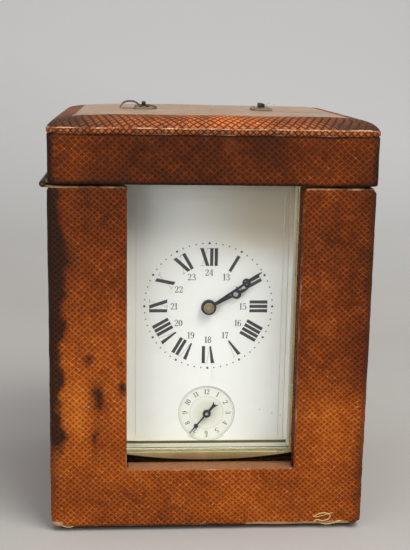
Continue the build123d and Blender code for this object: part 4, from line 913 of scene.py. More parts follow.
    # the rounded edge of the lip is pale: rubbed wear, and partly a painted highlight along the edge
    worn = np.where(np.abs(z - LEDGE) < 0.45, 0.60 + 0.35 * n1 + 0.40 * nz(co, 0.6, 8.0), 0)
    worn = np.maximum(worn, np.where(np.abs(z - (LSEAM + 0.18)) < 0.2, 0.42 + 0.5 * n1, 0))
    worn = np.maximum(worn, cr * (0.55 + 0.4 * n1))
    worn = np.maximum(worn, np.where(side, (1 - smoothstep(z, LZ0 + 0.1, LZ0 + 0.7)) * (0.16 + 0.5 * n1), 0))
    worn = np.maximum(worn, np.where(pill | flat, np.clip(0.8 * nz(co, 0.30, 15.0) - 0.22, 0, 0.5), 0))
    fac(me, "tone", np.clip(tone, 0, 1))
    fac(me, "stain_and_shade", np.clip(stain_and_shade, 0, 1.2))
    fac(me, "worn", np.clip(worn, 0, 1))
    fac(me, "suede", np.zeros(len(co)))
    for key in ("leather_lid", "leather_border", "leather_top"):
        me.materials.append(M[key])
    for p in me.polygons:
        c = p.center / MM
        inset = min(LHX - abs(c.x), LHY - abs(c.y))
        p.material_index = 0 if c.z < LSEAM + 0.12 else (2 if inset > 8.9 else 1)
    o = temp_object(me)
    s = o.modifiers.new("skin", "SOLIDIFY")
    s.thickness, s.offset, s.use_even_offset = (SKIN - 0.1) * MM, -1.0, False
    me = baked(o)
    return new_object("lid_leather_skin", me, None, "lid", ("lid_leather",))


lid_skin = lid_leather()


# ================================================================ padding, lining, felt
def cushion(name, lo, hi, axis, sign, crown, r, body, node, seed, step=3.0):
    """A padded panel: rounded edges, a crowned face on one side, sides pulled in between the corners."""
    lo, hi = np.array(lo, float), np.array(hi, float)
    r = min(r, *(0.49 * (hi - lo)))
    grid = []
    for a in range(3):
        e = [lo[a] + r * t for t in (0, 0.12, 0.35, 0.65, 1.0)]
        m = lines([lo[a] + r, hi[a] - r], step) if hi[a] - lo[a] > 2 * r + 0.2 else [lo[a] + r, hi[a] - r]
        f = [hi[a] - r * t for t in (0.65, 0.35, 0.12, 0)]
        grid.append(e[:-1] + m + f)
    index, verts, faces = {}, [], []
    sizes = [len(g) - 1 for g in grid]

    def vid(key):
        if key not in index:
            index[key] = len(verts)
            verts.append([grid[a][key[a]] for a in range(3)])
        return index[key]

    for a in range(3):
        b, c = [m for m in range(3) if m != a]
        for end in (0, sizes[a]):
            for i in range(sizes[b]):
                for j in range(sizes[c]):
                    quad = []
                    for di, dj in ((0, 0), (1, 0), (1, 1), (0, 1)):
                        key = [0, 0, 0]
                        key[a], key[b], key[c] = end, i + di, j + dj
                        quad.append(vid(tuple(key)))
                    flip = (end == 0) ^ (a == 1)
                    faces.append(quad[::-1] if flip else quad)
    v = np.array(verts)
    inner = np.clip(v, lo + r, hi - r)
    d = v - inner
    m = np.abs(d).max(1)
    ln = np.linalg.norm(d, axis=1)
    v = np.where((ln > 1e-9)[:, None], inner + d / np.maximum(ln, 1e-9)[:, None] * np.where(m > 1e-9, m, 0)[:, None], v)
    mid, half = (lo + hi) / 2, (hi - lo) / 2
    t = (v - mid) / half
    b, c = [q for q in range(3) if q != axis]
    on = smoothstep(sign * t[:, axis], -0.2, 1.0)
    edge = 1 - (1 - np.clip(np.abs(t[:, b]), 0, 1) ** 3) * (1 - np.clip(np.abs(t[:, c]), 0, 1) ** 3)
    v[:, axis] -= sign * crown * edge * on
    for p, q in ((b, c), (c, b)):
        pull = 0.45 * (1 - np.clip(np.abs(t[:, q]), 0, 1) ** 2) * smoothstep(np.abs(t[:, p]), 0.6, 1.0)
        v[:, p] -= np.sign(t[:, p]) * pull
    # soft dimples and puckers towards the edges
    w = 0.10 * nz(v, 0.05, seed) + 0.05 * nz(v, 0.22, seed + 4)
    v[:, axis] -= sign * np.clip(0.12 + w, 0, 0.4) * on
    me = mesh_of(name, v, faces)
    fac(me, "worn", np.clip(smoothstep(edge, 0.55, 1.0) * on * 0.75, 0, 1))
    o = new_object(name, me, "velvet", body, (node,))
    return o


cushion("velvet_pad_left", (-49.0, -39.4, 6.2), (-40.3, 40.7, 121.4), 0, 1, 1.1, 2.0, "root", "side_pad_left", 1.0)
cushion("velvet_pad_right", (40.3, -39.4, 6.2), (49.0, 40.7, 121.4), 0, -1, 1.1, 2.0, "root", "side_pad_right", 2.0)
cushion("velvet_pad_back", (-40.0, 31.3, 6.2), (40.0, 41.0, 121.4), 1, -1, 1.1, 2.0, "root", "back_pad", 3.0)
cushion("velvet_pad_floor", (-40.2, -39.6, 6.2), (40.2, 31.2, 7.2), 2, 1, 0.15, 0.48, "root", "floor_pad", 4.0)


def ringed(name, rings, cap_first=True, cap_last=True, seed=0.0, amp=0.0, nx=30, ny=26, nc=5):
    """A closed form made of rounded-rectangle rings, each (half x, half y, radius, z)."""
    loops = [np.column_stack([loop_points(hx, hy, r, nx, ny, nc), np.full(2 * nx + 2 * ny + 4 * nc, z)]) for hx, hy, r, z in rings]
    N = len(loops[0])
    v = np.vstack(loops)
    faces = []
    for n in range(len(loops) - 1):
        for j in range(N):
            k = (j + 1) % N
            faces.append((n * N + j, n * N + k, (n + 1) * N + k, (n + 1) * N + j))
    if cap_first:
        faces.append(tuple(range(N - 1, -1, -1)))
    if cap_last:
        faces.append(tuple(range((len(loops) - 1) * N, len(loops) * N)))
    if amp:
        h = nz(v, 0.12, seed)
        v[:, 0] -= np.sign(v[:, 0]) * np.clip(h, 0, 1) * amp
        v[:, 1] -= np.sign(v[:, 1]) * np.clip(nz(v, 0.13, seed + 5), 0, 1) * amp
    return mesh_of(name, v, faces)


# felt glued under the case
me = ringed("felt", [(8.0, 1.5, 0.5, 0.0), (30.0, 22.0, 1.0, 0.0), (52.4, 44.4, 1.5, 0.0), (52.85, 44.85, 1.7, 0.18), (52.95, 44.95, 1.8, 0.6), (52.8, 44.8, 1.7, 1.05), (52.4, 44.4, 1.5, 1.2), (8.0, 1.5, 0.5, 1.2)], seed=3.0, amp=0.30)
fac(me, "worn", np.zeros(len(me.vertices)))
felt = new_object("felt_sheet", me, "felt", "root", ("base_felt",))

# quilted velvet lining in the lid: walls, rolled lower edge, crowned ceiling
L0, L1 = 125.0, 142.0
rings = [(3.0, 1.0, 0.5, 141.02), (20.0, 14.0, 2.0, 141.02), (34.0, 27.0, 3.0, 141.08), (43.0, 35.5, 3.5, 141.20), (47.0, 39.3, 3.0, 141.22), (48.1, 40.2, 2.4, 140.9), (48.62, 40.62, 2.0, 140.2),
         (48.66, 40.66, 1.8, 138.0), (48.64, 40.64, 1.8, 134.0), (48.62, 40.62, 1.8, 130.0), (48.66, 40.66, 1.8, 127.0), (48.72, 40.72, 1.8, 125.7), (48.85, 40.85, 1.8, 125.25), (49.1, 41.1, 1.8, 125.03), (49.4, 41.4, 1.6, 125.08),
         (49.56, 41.56, 1.4, 125.35), (49.58, 41.58, 1.2, 126.0), (49.58, 41.58, 1.2, 141.2), (49.3, 41.3, 1.2, 141.9), (48.8, 40.8, 1.0, 141.98), (3.0, 1.0, 0.5, 141.98)]
rings = rings[::-1]
me = ringed("lining", rings)
co = co_of(me)
n = nz(co, 0.10, 9.0)
inside = (np.abs(co[:, 0]) < 48.9) & (co[:, 2] < 141.5) & (co[:, 2] > 125.3)
co[:, 0] += np.where(inside & (np.abs(co[:, 0]) > 47.0), np.sign(co[:, 0]) * 0.10 * n, 0)
co[:, 1] += np.where(inside & (np.abs(co[:, 1]) > 39.5), np.sign(co[:, 1]) * 0.10 * n, 0)
co[:, 2] += np.where(inside & (co[:, 2] > 140.95), 0.08 * np.clip(n, 0, 1), 0)
set_co(me, co)
fac(me, "worn", np.clip(1 - smoothstep(co[:, 2], 125.0, 126.4), 0, 1) * 0.7)
lining = new_object("velvet_lid_lining", me, "velvet", "lid", ("lid_lining",))


# ================================================================ torn strap, threads
def ribbon(name, path, y0, y1, thick, seed, mat, body, node=None, rag=0.5):
    """A strip of leather following path (x, z), from y0 to y1, with ragged long edges and ends."""
    p = np.array(path, float)
    s = np.concatenate([[0], np.cumsum(np.linalg.norm(np.diff(p, axis=0), axis=1))])
    n, m = 46, 14
    t = np.linspace(0, s[-1], n)
    cx = np.interp(t, s, p[:, 0])
    cz_ = np.interp(t, s, p[:, 1])
    for _ in range(3):
        cx[1:-1] = (cx[:-2] + 2 * cx[1:-1] + cx[2:]) / 4
        cz_[1:-1] = (cz_[:-2] + 2 * cz_[1:-1] + cz_[2:]) / 4
    tx, tz = np.gradient(cx), np.gradient(cz_)
    ln = np.hypot(tx, tz)
    nx_, nz_ = -tz / ln, tx / ln
    top, bot = [], []
    for i in range(n):
        for j in range(m):
            b = j / (m - 1)
            e = mn.noise(Vector((t[i] * 0.9, seed, b * 9.0)))
            a0 = y0 + rag * max(0.0, mn.noise(Vector((t[i] * 0.8, seed, 1.0))) + 0.3 * mn.noise(Vector((t[i] * 3.0, seed, 2.0))))
            a1 = y1 - rag * max(0.0, mn.noise(Vector((t[i] * 0.8, seed, 5.0))) + 0.3 * mn.noise(Vector((t[i] * 3.0, seed, 6.0))))
            y = a0 + (a1 - a0) * b
            k = 0.0
            if i < 3:      # torn end
                k = (3 - i) * 0.22 * (0.5 + mn.noise(Vector((y * 1.3, seed, 3.0))))
            x = cx[i] + (tx[i] / ln[i]) * max(0.0, k)
            z = cz_[i] + (tz[i] / ln[i]) * max(0.0, k)
            h = thick / 2 * (1 - 0.55 * (abs(2 * b - 1) ** 6)) * (0.85 + 0.25 * e)
            top.append((x + nx_[i] * h, y, z + nz_[i] * h))
            bot.append((x - nx_[i] * h, y, z - nz_[i] * h))
    verts = top + bot
    K = n * m
    faces = []
    for i in range(n - 1):
        for j in range(m - 1):
            a, b, c, d = i * m + j, i * m + j + 1, (i + 1) * m + j + 1, (i + 1) * m + j
            faces.append((a, b, c, d))
            faces.append((K + d, K + c, K + b, K + a))
    for i in range(n - 1):
        faces.append((i * m, (i + 1) * m, K + (i + 1) * m, K + i * m))
        a = i * m + m - 1
        faces.append((a, K + a, K + a + m, a + m))
    for j in range(m - 1):
        faces.append((j, K + j, K + j + 1, j + 1))
        a = (n - 1) * m + j
        faces.append((a, a + 1, K + a + 1, K + a))
    me = mesh_of(name, verts, faces)
    bm = bmesh.new()
    bm.from_mesh(me)
    bmesh.ops.recalc_face_normals(bm, faces=bm.faces)
    bm.to_mesh(me)
    bm.free()
    ii = np.repeat(np.arange(n), m)
    jj = np.tile(np.arange(m), n)
    w = np.maximum(1 - ii / 5.0, 0) + np.maximum(1 - np.minimum(jj, m - 1 - jj) / 1.2, 0) * 0.45
    w = np.concatenate([w, w * 0.6 + 0.35])
    fac(me, "worn", np.clip(w, 0, 1))
    return new_object(name, me, mat, body, (node,) if node else ())


LP = LTOP
ribbon("strap_end_torn", [(-31.7, LP + 0.42), (-30.9, LP + 1.80), (-29.7, LP + 2.42), (-28.4, LP + 2.60), (-26.9, LP + 2.55), (-25.8, LP + 2.15), (-24.7, LP + 1.20), (-23.0, LP + 1.10), (-21.0, LP + 1.08), (-19.6, LP + 0.92), (-18.2, LP + 0.36)],
       -2.3, 4.3, 0.66, 3.7, "strap", "lid", "strap_stub")


def tubes(name, paths, mat, body, sides=6):
    """Thin threads: each path is (points, radius)."""
    verts, faces = [], []
    for pts, rad in paths:
        p = np.array(pts, float)
        s = np.concatenate([[0], np.cumsum(np.linalg.norm(np.diff(p, axis=0), axis=1))])
        n = max(8, int(s[-1] / 0.35))
        t = np.linspace(0, s[-1], n)
        q = np.column_stack([np.interp(t, s, p[:, a]) for a in range(3)])
        for _ in range(4):
            q[1:-1] = (q[:-2] + 2 * q[1:-1] + q[2:]) / 4
        tan = np.gradient(q, axis=0)
        tan /= np.linalg.norm(tan, axis=1)[:, None]
        up = np.array([0.3, -0.5, 0.81])
        base = len(verts)
        for i in range(n):
            a = np.cross(tan[i], up)
            a /= np.linalg.norm(a)
            b = np.cross(tan[i], a)
            rr = rad * (0.25 if i in (0, n - 1) else 1.0) * (1 + 0.25 * mn.noise(Vector((t[i] * 2.0, rad * 50, 0))))
            for k in range(sides):
                w = 2 * math.pi * k / sides
                verts.append(tuple(q[i] + rr * (math.cos(w) * a + math.sin(w) * b)))
        for i in range(n - 1):
            for k in range(sides):
                l = (k + 1) % sides
                faces.append((base + i * sides + k, base + i * sides + l, base + (i + 1) * sides + l, base + (i + 1) * sides + k))
        faces.append(tuple(base + k for k in range(sides - 1, -1, -1)))
        faces.append(tuple(base + (n - 1) * sides + k for k in range(sides)))
    me = mesh_of(name, verts, faces)
    bm = bmesh.new()
    bm.from_mesh(me)
    bmesh.ops.recalc_face_normals(bm, faces=bm.faces)
    bm.to_mesh(me)
    bm.free()
    return new_object(name, me, mat, body)


tubes("frayed_threads_front", [
    ([(38.6, -46.9, 4.4), (40.2, -47.25, 5.6), (42.6, -47.3, 6.0), (44.6, -47.3, 5.0), (44.0, -47.2, 3.4), (41.6, -47.3, 2.8), (39.4, -47.2, 3.4), (38.4, -47.1, 2.2)], 0.19),
    ([(40.6, -46.8, 1.9), (43.0, -47.3, 1.5), (45.4, -47.35, 1.9), (48.2, -47.2, 2.7)], 0.16),
    ([(46.6, -46.9, 2.2), (48.0, -47.3, 3.2), (49.0, -47.2, 2.2)], 0.14),
    ([(38.0, -46.9, 5.2), (38.4, -47.3, 4.2), (40.4, -47.35, 4.6), (43.4, -47.35, 5.4), (45.4, -47.2, 6.0)], 0.13),
    ([(-52.0, -46.6, 2.2), (-50.4, -47.0, 1.6), (-48.4, -47.1, 1.5), (-47.4, -46.9, 2.0)], 0.12),
], "thread", "root")
tubes("frayed_fibres_lid", [
    ([(23.6, -1.0, LP + 0.5), (24.4, -0.8, LP + 1.6), (25.6, -0.4, LP + 2.3), (26.6, 0.4, LP + 2.0)], 0.10),
    ([(24.2, 1.4, LP + 0.5), (25.2, 1.6, LP + 1.5), (26.4, 1.8, LP + 1.3), (27.2, 2.2, LP + 0.6)], 0.09),
    ([(22.4, 0.2, LP + 1.2), (23.0, -0.6, LP + 2.5), (24.4, -1.2, LP + 2.6)], 0.08),
    ([(-31.0, 0.0, LP + 1.5), (-31.7, -0.2, LP + 1.7), (-32.2, -0.6, LP + 1.3)], 0.09),
    ([(-30.6, 2.6, LP + 1.9), (-31.3, 2.9, LP + 2.2), (-31.9, 3.3, LP + 2.0)], 0.08),
], "thread", "lid")


# ================================================================ dial print
def strokes_mesh(name, strips, mat, y_back, y_front, faint=False):
    """Flat strokes as thin closed solids. Each strip is a list of (left point, right point) pairs in X and Z."""
    verts, faces = [], []
    for strip in strips:
        b = len(verts)
        n = len(strip)
        for (lx, lz), (rx, rz) in strip:
            verts += [(lx, y_front, lz), (rx, y_front, rz), (rx, y_back, rz), (lx, y_back, lz)]
        for i in range(n - 1):
            p, q = b + 4 * i, b + 4 * (i + 1)
            for k in range(4):
                l = (k + 1) % 4
                faces.append((p + k, p + l, q + l, q + k))
        faces.append((b, b + 3, b + 2, b + 1))
        e = b + 4 * (n - 1)
        faces.append((e, e + 1, e + 2, e + 3))
    me = mesh_of(name, verts, faces)
    bm = bmesh.new()
    bm.from_mesh(me)
    bmesh.ops.recalc_face_normals(bm, faces=bm.faces)
    bm.to_mesh(me)
    bm.free()
    return new_object(name, me, mat, "root", smooth=False)


def stroke(pts, n=None, curve=True):
    """Strip along a centreline: pts are (x, y, width)."""
    p = np.array(pts, float)
    if curve and len(p) > 2:
        q = np.vstack([2 * p[0] - p[1], p, 2 * p[-1] - p[-2]])
        out = []
        for i in range(1, len(q) - 2):
            for t in np.linspace(0, 1, 6, endpoint=False):
                a, b, c, d = q[i - 1], q[i], q[i + 1], q[i + 2]
                out.append(0.5 * ((2 * b) + (-a + c) * t + (2 * a - 5 * b + 4 * c - d) * t * t + (-a + 3 * b - 3 * c + d) * t ** 3))
        out.append(p[-1])
        p = np.array(out)
    t = np.gradient(p[:, :2], axis=0)
    t /= np.maximum(np.linalg.norm(t, axis=1), 1e-9)[:, None]
    nrm = np.column_stack([-t[:, 1], t[:, 0]])
    w = np.maximum(p[:, 2:3], 0.02) / 2
    return list(zip((p[:, :2] + nrm * w).tolist(), (p[:, :2] - nrm * w).tolist()))


def place(strips, cx, cz_, angle, scale, dx=0.0, dy=0.0):
    """Strips from a glyph's own frame, turned clockwise by angle (radians)."""
    c, s = math.cos(angle), math.sin(angle)
    out = []
    for st in strips:
        row = []
        for a, b in st:
            pr = []
            for px, py in (a, b):
                x, y = px * scale + dx, py * scale + dy
                pr.append((cx + x * c + y * s, cz_ - x * s + y * c))
            row.append(tuple(pr))
        out.append(row)
    return out


def ellipse(cx, cy, rx, ry, thick, thin, n=28, a0=0.0, a1=2 * math.pi):
    pts = []
    for i in range(n + 1):
        a = a0 + (a1 - a0) * i / n
        pts.append((cx + rx * math.cos(a), cy + ry * math.sin(a), thin + (thick - thin) * abs(math.cos(a)) ** 1.3))
    return stroke(pts, curve=False)


DIGITS = {
    "0": (0.60, [ellipse(0.30, 0.5, 0.21, 0.46, 0.17, 0.05)]),
    "1": (0.44, [stroke([(0.24, 0.0, 0.16), (0.24, 0.99, 0.16)], curve=False), stroke([(0.05, 0.84, 0.05), (0.20, 0.95, 0.09)], curve=False), stroke([(0.06, 0.025, 0.05), (0.42, 0.025, 0.05)], curve=False)]),
    "2": (0.60, [stroke([(0.11, 0.72, 0.14), (0.12, 0.86, 0.09), (0.28, 0.98, 0.05), (0.46, 0.88, 0.12), (0.50, 0.72, 0.16), (0.38, 0.46, 0.10), (0.18, 0.20, 0.06), (0.06, 0.05, 0.06)]),
                 stroke([(0.05, 0.05, 0.09), (0.26, 0.08, 0.13), (0.48, 0.05, 0.11), (0.56, 0.24, 0.05)])]),
    "3": (0.58, [stroke([(0.10, 0.80, 0.12), (0.16, 0.94, 0.06), (0.30, 0.98, 0.05), (0.45, 0.87, 0.12), (0.46, 0.72, 0.15), (0.36, 0.56, 0.07), (0.22, 0.53, 0.05)]),
                 stroke([(0.22, 0.53, 0.05), (0.40, 0.48, 0.08), (0.51, 0.33, 0.15), (0.50, 0.16, 0.15), (0.38, 0.03, 0.07), (0.24, 0.02, 0.05), (0.10, 0.08, 0.08), (0.09, 0.20, 0.12)])]),
    "4": (0.62, [stroke([(0.42, 0.99, 0.06), (0.03, 0.27, 0.06)], curve=False), stroke([(0.02, 0.27, 0.06), (0.60, 0.27, 0.06)], curve=False), stroke([(0.44, 0.99, 0.15), (0.44, 0.0, 0.15)], curve=False),
                 stroke([(0.30, 0.025, 0.05), (0.58, 0.025, 0.05)], curve=False)]),
    "5": (0.60, [stroke([(0.13, 0.94, 0.10), (0.30, 0.92, 0.11), (0.49, 0.98, 0.07)]), stroke([(0.13, 0.98, 0.05), (0.11, 0.50, 0.05)], curve=False),
                 stroke([(0.11, 0.50, 0.04), (0.24, 0.61, 0.05), (0.40, 0.58, 0.09), (0.52, 0.42, 0.15), (0.51, 0.20, 0.15), (0.38, 0.04, 0.07), (0.24, 0.02, 0.05), (0.10, 0.08, 0.08), (0.09, 0.20, 0.12)])]),
    "6": (0.60, [stroke([(0.49, 0.82, 0.12), (0.42, 0.95, 0.06), (0.30, 0.97, 0.05), (0.15, 0.80, 0.12), (0.09, 0.46, 0.16), (0.14, 0.14, 0.12), (0.30, 0.02, 0.05), (0.46, 0.12, 0.13), (0.50, 0.32, 0.15), (0.42, 0.52, 0.08), (0.28, 0.57, 0.05), (0.14, 0.44, 0.06)])]),
    "7": (0.56, [stroke([(0.07, 0.78, 0.06), (0.09, 0.93, 0.10), (0.28, 0.90, 0.12), (0.54, 0.95, 0.09)]), stroke([(0.53, 0.95, 0.05), (0.34, 0.52, 0.10), (0.25, 0.0, 0.17)])]),
    "8": (0.60, [ellipse(0.30, 0.75, 0.16, 0.21, 0.13, 0.06), ellipse(0.30, 0.27, 0.20, 0.25, 0.15, 0.06)]),
    "9": (0.60, [stroke([(0.60 - a, 0.99 - b, c) for a, b, c in [(0.49, 0.82, 0.12), (0.42, 0.95, 0.06), (0.30, 0.97, 0.05), (0.15, 0.80, 0.12), (0.09, 0.46, 0.16), (0.14, 0.14, 0.12), (0.30, 0.02, 0.05), (0.46, 0.12, 0.13), (0.50, 0.32, 0.15), (0.42, 0.52, 0.08), (0.28, 0.57, 0.05), (0.14, 0.44, 0.06)]])]),
}


def number(text, cx, cz_, angle, height):
    """Strips of a number centred at a point."""
    w = sum(DIGITS[c][0] for c in text) + 0.04 * (len(text) - 1)
    out, x = [], -w / 2
    for c in text:
        out += place(DIGITS[c][1], cx, cz_, angle, height, dx=x * height, dy=-height / 2)
        x += DIGITS[c][0] + 0.04
    return out


def roman(text, r0, r1, angle):
    """Strips of a radial Roman numeral between two radii, tops outward."""
    wide = {"I": 1.62, "V": 3.05, "X": 3.30}
    total = sum(wide[c] for c in text)
    h = r1 - r0
    out, x = [], -total / 2
    for c in text:
        w = wide[c]
        m = x + w / 2
        g = []
        if c == "I":
            g.append(stroke([(m, 0.0, 1.12), (m, h, 1.20)], curve=False))
            g.append(stroke([(m - 0.74, 0.07, 0.05), (m + 0.74, 0.07, 0.05)], curve=False))
            g.append(stroke([(m - 0.74, h - 0.07, 0.05), (m + 0.74, h - 0.07, 0.05)], curve=False))
        elif c == "V":
            a = 0.98
            g.append([((m - a - 0.68, h), (m - a + 0.62, h)), ((m - 0.36, 0.0), (m + 0.20, 0.0))])
            g.append(stroke([(m + a + 0.1, h, 0.07), (m + 0.06, 0.05, 0.07)], curve=False))
            g.append(stroke([(m - a - 0.9, h - 0.07, 0.05), (m - a + 0.8, h - 0.07, 0.05)], curve=False))
            g.append(stroke([(m + a - 0.5, h - 0.07, 0.05), (m + a + 0.6, h - 0.07, 0.05)], curve=False))
        else:
            a = 1.05
            g.append([((m - a - 0.66, h), (m - a + 0.62, h)), ((m + a - 0.62, 0.0), (m + a + 0.66, 0.0))])
            g.append(stroke([(m + a, h, 0.07), (m - a, 0.0, 0.07)], curve=False))
            for s, e in ((-1, 0.07), (1, 0.07), (-1, h - 0.07), (1, h - 0.07)):
                g.append(stroke([(m + s * a - 0.75, e, 0.05), (m + s * a + 0.75, e, 0.14)], curve=False))
        out += g
        x += w
    return place(out, CX + r0 * math.sin(angle), CZ + r0 * math.cos(angle), angle, 1.0)


def dot(cx, cz_, r, n=12):
    """A round dot as one strip."""
    row = []
    for i in range(n + 1):
        a = math.pi * i / n
        row.append(((cx - r * math.sin(a) - 1e-4, cz_ + r * math.cos(a)), (cx + r * math.sin(a) + 1e-4, cz_ + r * math.cos(a))))
    return row


R_DOTS = 22.9
black, grey, faint = [], [], []
for hour, text in enumerate(["XII", "I", "II", "III", "IIII", "V", "VI", "VII", "VIII", "IX", "X", "XI"]):
    black += roman(text, 14.75, 21.15, math.radians(30 * hour))
for i in range(60):
    a = math.radians(6 * i)
    black.append(dot(CX + R_DOTS * math.sin(a), CZ + R_DOTS * math.cos(a), 0.40 if i % 5 == 0 else 0.25))
for i in range(12):
    a = math.radians(30 * i)
    grey += number(str(12 + i if i else 24), CX + 12.35 * math.sin(a), CZ + 12.35 * math.cos(a), 0.0, 2.35)
for i in range(12):
    a = math.radians(30 * i)
    faint_r = 7.95
    grey_a = number(str(i if i else 12), ACX + faint_r * math.sin(a), ACZ + faint_r * math.cos(a), a, 1.9)
    faint += grey_a
strokes_mesh("dial_numerals", black, "ink", DIAL_Y + 0.03, DIAL_Y - 0.045)
strokes_mesh("dial_day_hours", grey, "ink_grey", DIAL_Y + 0.03, DIAL_Y - 0.04)
SUNK = DIAL_Y + 0.35
strokes_mesh("alarm_numerals", faint, "ink_grey", SUNK + 0.03, SUNK - 0.04)
rings = [ellipse(ACX, ACZ, 6.15, 6.15, 0.07, 0.07, 72), ellipse(ACX, ACZ, 9.65, 9.65, 0.09, 0.09, 96)]
for i in range(48):
    a = math.radians(7.5 * i)
    l = 0.55 if i % 4 == 0 else 0.3
    rings.append(stroke([(ACX + (6.15 - l) * math.sin(a), ACZ + (6.15 - l) * math.cos(a), 0.08), (ACX + 6.15 * math.sin(a), ACZ + 6.15 * math.cos(a), 0.08)], curve=False))
strokes_mesh("alarm_track", rings, "ink_faint", SUNK + 0.03, SUNK - 0.035)
crack = [stroke([(1.9, 57.4, 0.05), (1.75, 55.4, 0.07), (1.95, 53.4, 0.07), (1.8, 51.0, 0.05)])]
specks = [dot(19.7, 39.6, 0.22), dot(24.2, 38.2, 0.20), dot(26.8, 37.4, 0.22), dot(-21.5, 44.0, 0.12), dot(13.2, 116.0, 0.12)]
strokes_mesh("dial_specks", crack + specks, "ink_faint", DIAL_Y + 0.03, DIAL_Y - 0.03)

# painted reflections and painted shade on the front glass's bevel: thin coloured strips laid on the glass stand in for
# its polished arrises, its lit and dark facets and the dark gap at its edge
def bevel_y(x, z):
    """Front face of the glass at a point: flat in the middle, falling back over the bevel."""
    d = min(31.2 - abs(x), z - 26.45, 124.75 - z)
    return -37.2 + 1.1 * max(0.0, 1 - d / 5.5)


def facet(pts):
    """A thin strip lying on the glass; pts are (left x, left z), (right x, right z) pairs."""
    verts, faces = [], []
    for (lx, lz), (rx, rz) in pts:
        for px, pz, off in ((lx, lz, -0.03), (rx, rz, -0.03), (rx, rz, 0.03), (lx, lz, 0.03)):
            verts.append((px, bevel_y(px, pz) + off, pz))
    for i in range(len(pts) - 1):
        p, q = 4 * i, 4 * (i + 1)
        for a in range(4):
            b = (a + 1) % 4
            faces.append((p + a, p + b, q + b, q + a))
    faces.append((0, 3, 2, 1))
    e = 4 * (len(pts) - 1)
    faces.append((e, e + 1, e + 2, e + 3))
    return verts, faces


def facets(name, groups, mat):
    verts, faces = [], []
    for g in groups:
        v, f = facet(g)
        faces += [tuple(i + len(verts) for i in q) for q in f]
        verts += v
    me = mesh_of(name, verts, faces)
    bm = bmesh.new()
    bm.from_mesh(me)
    bmesh.ops.recalc_face_normals(bm, faces=bm.faces)
    bm.to_mesh(me)
    bm.free()
    o = new_object(name, me, mat, "root", smooth=False)
    o.visible_shadow = False
    return o


BX_, BZ0, BZ1 = 25.7, 31.9, 119.3
def hline(x0, x1, z, w):
    return [((x, z + w / 2), (x, z - w / 2)) for x in np.linspace(x0, x1, 12)]
def vline(x, z0, z1, w):
    return [((x - w / 2, z), (x + w / 2, z)) for z in np.linspace(z0, z1, 24)]
facets("glass_arris_painted_lines", [vline(BX_, BZ0, BZ1, 0.20), vline(-BX_, BZ0, BZ1, 0.14), vline(27.6, 30.2, 121.5, 0.20)], "arris")
facets("glass_bevel_painted_highlight", [hline(-30.9, 29.0, 27.85, 1.30), vline(30.0, 27.4, 122.8, 1.5)], "painted_bevel_light")
facets("glass_bevel_painted_darkline", [hline(-30.9, 29.0, 29.25, 1.15)], "painted_bevel_dark")
facets("glass_edge_painted_shade", [hline(-30.9, 30.9, 26.95, 0.28), vline(31.0, 27.4, 123.6, 0.34)], "painted_edge_shade")

# ================================================================ camera, light, floor
POS = Vector((-26.23, -384.6, 164.9)) * MM
ya, pi_, ro = math.radians(-4.049), math.radians(-11.959), math.radians(1.021)
r0 = Vector((math.cos(ya), math.sin(ya), 0))
ry = Vector((-math.sin(ya), math.cos(ya), 0))
up0 = Vector((0, 0, 1))
fwd = ry * math.cos(pi_) + up0 * math.sin(pi_)
r2 = ry * -math.sin(pi_) + up0 * math.cos(pi_)
right = r0 * math.cos(ro) + r2 * math.sin(ro)
up = r2 * math.cos(ro) - r0 * math.sin(ro)
cam_data = bpy.data.cameras.new("camera")
cam = bpy.data.objects.new("camera", cam_data)
bpy.context.scene.collection.objects.link(cam)
rot = Matrix((right, up, -fwd)).transposed().to_4x4()
cam.matrix_world = Matrix.Translation(POS) @ rot
cam_data.lens = 66.70
cam_data.sensor_width = 36.0
cam_data.clip_start = 0.01
cam_data.clip_end = 20.0
bpy.context.scene.camera = cam

scene = bpy.context.scene
scene.view_settings.view_transform = "Standard"
scene.view_settings.look = "None"
scene.view_settings.exposure = 0.0
scene.view_settings.gamma = 1.0

world = bpy.data.worlds.new("studio")
scene.world = world
world.use_nodes = True
bg = world.node_tree.nodes["Background"]
bg.inputs[0].default_value = (0.96, 0.97, 1.0, 1.0)
bg.inputs[1].default_value = 0.38


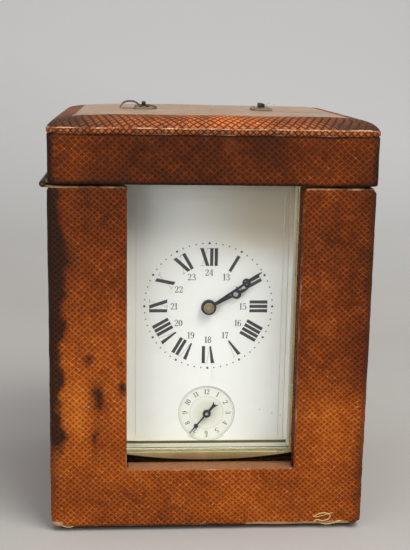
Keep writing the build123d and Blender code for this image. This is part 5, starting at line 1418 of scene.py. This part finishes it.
def area(name, loc, target, size, power, colour=(1, 1, 1)):
    d = bpy.data.lights.new(name, "AREA")
    d.shape, d.size, d.size_y, d.energy, d.color = "RECTANGLE", size[0], size[1], power, colour
    o = bpy.data.objects.new(name, d)
    scene.collection.objects.link(o)
    o.location = loc
    o.rotation_euler = (Vector(target) - Vector(loc)).to_track_quat("-Z", "Y").to_euler()
    return o


area("key", (0.42, -0.52, 1.00), (0, 0, 0.07), (0.6, 0.6), 9.5, (1.0, 0.985, 0.95))
area("fill", (-0.70, -0.85, 0.32), (0, 0, 0.06), (0.8, 0.6), 3.4, (0.97, 0.98, 1.0))
area("overhead", (0.0, -0.12, 1.15), (0, 0.0, 0.05), (1.1, 0.7), 5.0)

# floor that sweeps up into the backdrop
fm = Mat("backdrop_paper")
n1 = fm.noise(fm.pos, 0.004, 3.0, 0.5)
n2 = fm.noise(fm.pos, 0.9, 2.0, 0.5)
fcol = fm.ramp(fm.add(fm.mul(n1, 0.8), fm.mul(n2, 0.2)), [(0.3, (0.405, 0.388, 0.366)), (0.7, (0.440, 0.422, 0.400))])
_fx, _fy, _fz = fm.sep(fm.pos)
# painted light: the paper is made lighter towards the back and to the right, standing in for how the light falls across
# the sweep
fcol = fm.mix(fm.rng(fm.add(_fy, fm.mul(_fx, 0.35)), 260.0, 1000.0, 0.0, 1.0, smooth=False), fcol, (0.70, 0.695, 0.68))
floor_mat = fm.bsdf(Base_Color=fcol, Roughness=0.85, Specular_IOR_Level=0.2, Normal=fm.bump(n2, 0.05, 0.3))
prof = [(-1.6, 0.0), (-0.6, 0.0), (0.0, 0.0), (0.35, 0.0), (0.6, 0.0)]
for i in range(1, 17):
    a = math.pi / 2 * i / 16
    prof.append((0.6 + 0.7 * math.sin(a), 0.7 - 0.7 * math.cos(a)))
prof.append((1.3, 2.2))
fv, ff = [], []
for i, (yy, zz) in enumerate(prof):
    fv += [(-2.4 / MM, yy / MM, zz / MM), (2.4 / MM, yy / MM, zz / MM)]
    if i:
        ff.append((2 * i - 2, 2 * i - 1, 2 * i + 1, 2 * i))
fme = mesh_of("floor", fv, ff)
fme.polygons.foreach_set("use_smooth", [True] * len(fme.polygons))
fme.materials.append(floor_mat)
floor = bpy.data.objects.new("floor", fme)
scene.collection.objects.link(floor)
floor.location.z = -0.0002
